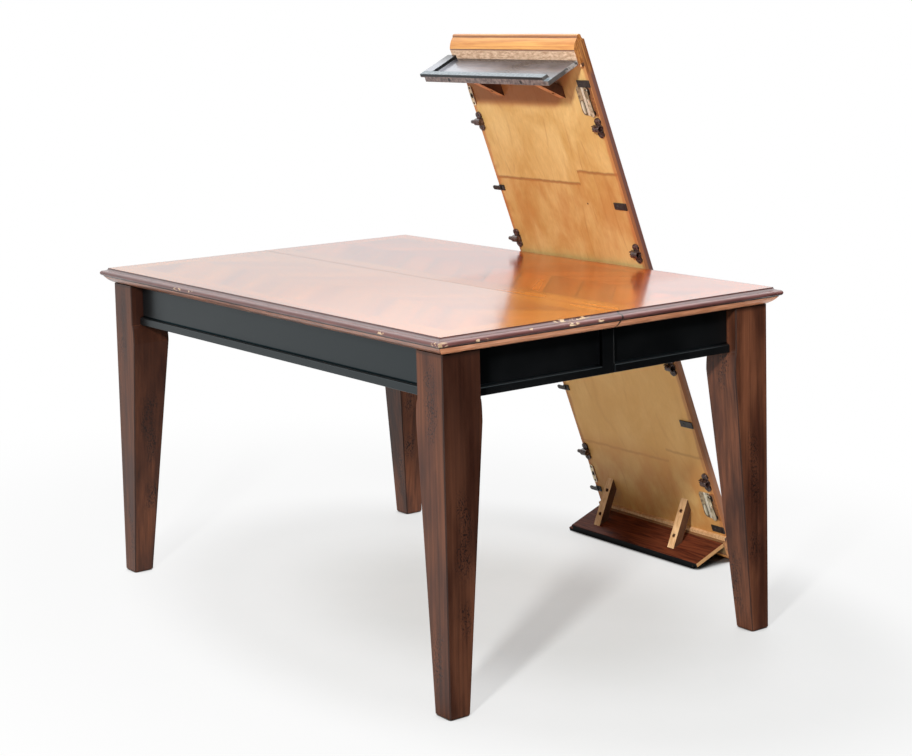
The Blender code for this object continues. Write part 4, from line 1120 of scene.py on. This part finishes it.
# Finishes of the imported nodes

def paint_nodes():
    """Give every node its finish."""
    by_slot = {
        "veneer": top_finish(),
        "moulding": moulding_finish(),
        "leg": leg_finish(),
        "hardwood": bare_wood_finish("slide_wood", (0.40, 0.23, 0.11), (0.62, 0.42, 0.23), (4.0, 90.0, 90.0)),
        "steel": metal_finish("plain_steel", (0.34, 0.33, 0.30), (0.62, 0.60, 0.54), 0.34),
        "nylon": plastic_finish("gear_nylon", (0.58, 0.56, 0.50), (0.76, 0.74, 0.68), 0.45),
        "ply": brace_finish("lower_brace_wood", (0.060, 0.024, 0.010), (0.120, 0.050, 0.022)),
        "trim": bare_wood_finish("cleat_wood", (0.20, 0.085, 0.030), (0.32, 0.150, 0.058), (60.0, 4.0, 60.0)),
    }
    special = {
        "leaf_upper_moulding": leaf_trim_finish("upper_trim", -1, (0.42, 0.24, 0.14), (0.76, 0.54, 0.37)),
        "leaf_lower_moulding": leaf_trim_finish("lower_trim", 1, (0.15, 0.085, 0.030), (0.18, 0.105, 0.038)),
        "leaf_panel": leaf_panel_finish(),
        "leaf_upper_apron": leaf_apron_finish("upper", -1),
        "leaf_lower_apron": leaf_apron_finish("lower", 1),
    }
    leaf_lever = lever_finish("leaf_lever_brass", LEAF_OUT)
    table_lever = lever_finish("table_lever_brass", UP)
    upper_brace = brace_finish("upper_brace_wood", (0.050, 0.018, 0.008), (0.120, 0.045, 0.018))
    along_x = apron_finish("black_lacquer_short", 0)
    along_y = apron_finish("black_lacquer_long", 1)
    slots = {part["node"]: part["material_slot"] for part in frame["record"]["subparts"]}
    for name, node in frame["nodes"].items():
        low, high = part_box(name)
        turned = name.startswith("leaf")
        if name.endswith("_strike"):
            finish = strike_finish(f"{name}_plating", (low + high) / 2, turned)
        elif name.endswith("_lock_plate"):
            finish = lock_finish(f"{name}_plating", (low + high) / 2, turned)
        elif name.endswith("_lock_lever"):
            finish = leaf_lever if turned else table_lever
        elif name.startswith("leaf_upper_gusset"):
            finish = upper_brace
        elif name in special:
            finish = special[name]
        elif slots[name] == "apron":
            finish = along_y if "long" in name else along_x
        else:
            finish = by_slot[slots[name]]
        node.data.materials.clear()
        node.data.materials.append(finish)
        node.data.shade_smooth()
        node.data.set_sharp_from_angle(angle=NODE_SHARP_ANGLE)


# Floor, light and camera

def floor_material():
    """A pale floor that fades to white and keeps the object's shadow, with painted contact shade and a patch black
    in reflections.
    """
    finish = Finish("pale_floor", {"Roughness": 0.6})
    place = finish.coordinates()
    x, y, _ = place.parts()
    seen_colour = place.noise(2.2, 5.0, 0.6).tone((0.54, 0.555, 0.54), (0.60, 0.610, 0.605), 0.25, 0.75)
    # Painted contact shade: the floor's colour is darker where the object comes close above it
    openness = finish.add("ShaderNodeAmbientOcclusion", {"Distance": CONTACT_REACH}, "AO")
    contact_shade = openness.fade(*CONTACT_SPAN)
    seen_colour = seen_colour.paint(contact_shade * 0.9, (0.030, 0.026, 0.022))
    finish.surface(colour=finish.ray("Diffuse").blend(seen_colour, (0.92, 0.92, 0.91)))
    distance = place.reach(GREY_PATCH, PATCH_STRETCH)
    share = distance.fade(*INNER_PATCH_SPAN).pick(0.42, 0.66)
    share = distance.fade(*MIDDLE_PATCH_SPAN) * 0.24 + share
    share = distance.fade(*OUTER_PATCH_SPAN) * 0.10 + share
    seen_directly = most(finish.ray("Camera"), finish.mirrored())
    share = seen_directly * (share * (1.0 - contact_shade))
    white = finish.add("ShaderNodeEmission", {"Color": WHITE, "Strength": 1.0})
    floor = Value(finish, finish.shader.outputs[0])
    mixed = finish.add("ShaderNodeMixShader", (share, floor, white))
    # Painted dark reflection: in front of the table's -Y side the floor is black, for reflections only
    black = finish.add("ShaderNodeEmission", {"Strength": 0.0})
    dark = y.fade(*DARK_FLOOR_Y_SPAN) * x.fade(*DARK_FLOOR_X_SPAN) * finish.ray("Glossy")
    mixed = finish.add("ShaderNodeMixShader", (dark, mixed, black))
    finish.feed(finish.tree.nodes["Material Output"].inputs["Surface"], mixed)
    return finish.material


def add_floor():
    """The plain floor."""
    half = FLOOR_SIZE / 2
    mesh = bpy.data.meshes.new("floor")
    corners = [(-half, -half, 0.0), (half, -half, 0.0), (half, half, 0.0), (-half, half, 0.0)]
    mesh.from_pydata(corners, [], [(0, 1, 2, 3)])
    mesh.materials.append(floor_material())
    floor = new_object("floor", mesh)


class WorldNodes(Finish):
    """The same ways to add nodes, for the world."""

    def __init__(self, name):
        self.world = bpy.data.worlds.new(name)
        self.world.use_nodes = True
        self.tree = self.world.node_tree


def add_world():
    """A white room; reflections towards its dark side fall off."""
    nodes = WorldNodes("white_room")
    direction = nodes.add("ShaderNodeTexCoord", output="Generated")
    height = direction.parts()[2]
    dark = direction.dot(DARK_SIDE).fade(*DARK_SIDE_SPAN) * height.fade(*DARK_LOW_SPAN)
    room = (1.0 - dark) * height.scaled(*WALL_SPAN, 0.94, 1.22)
    room = room + height.fade(*CEILING_SPAN) * CEILING_LIGHT
    strength = nodes.mirrored().pick(ROOM_LIGHT, room)
    strength = nodes.ray("Camera").pick(strength, 1.0)
    background = nodes.tree.nodes["Background"]
    background.inputs["Color"].default_value = WHITE
    nodes.feed(background.inputs["Strength"], strength)
    bpy.context.scene.world = nodes.world


def add_key_light():
    """One soft light to the left of the camera."""
    data = bpy.data.lights.new("key_light", "AREA")
    data.shape = "DISK"
    data.size = KEY_SIZE
    data.energy = KEY_POWER
    light = new_object("key_light", data)
    towards = Vector(KEY_DIRECTION).normalized()
    light.location = Vector(KEY_AIM) + towards * KEY_DISTANCE
    light.rotation_euler = towards.to_track_quat("Z", "Y").to_euler()


def add_camera():
    """The camera at the photograph's view."""
    level = Vector((cos(CAMERA_YAW), sin(CAMERA_YAW), 0.0))
    forward = level * cos(CAMERA_PITCH) + UP * sin(CAMERA_PITCH)
    level_right = forward.cross(UP).normalized()
    level_up = level_right.cross(forward)
    right = level_right * cos(CAMERA_ROLL) + level_up * sin(CAMERA_ROLL)
    up = level_up * cos(CAMERA_ROLL) - level_right * sin(CAMERA_ROLL)
    data = bpy.data.cameras.new("camera")
    data.lens = CAMERA_LENS
    data.sensor_width = SENSOR_WIDTH
    data.sensor_fit = "HORIZONTAL"
    data.shift_x, data.shift_y = CAMERA_SHIFT
    camera = new_object("camera", data)
    matrix = Matrix((right, up, -forward)).transposed().to_4x4()
    matrix.translation = CAMERA_PLACE
    camera.matrix_world = matrix
    bpy.context.scene.camera = camera


paint_nodes()
add_all_fittings()
add_floor()
add_world()
add_key_light()
add_camera()
bpy.context.scene.view_settings.view_transform = "Standard"
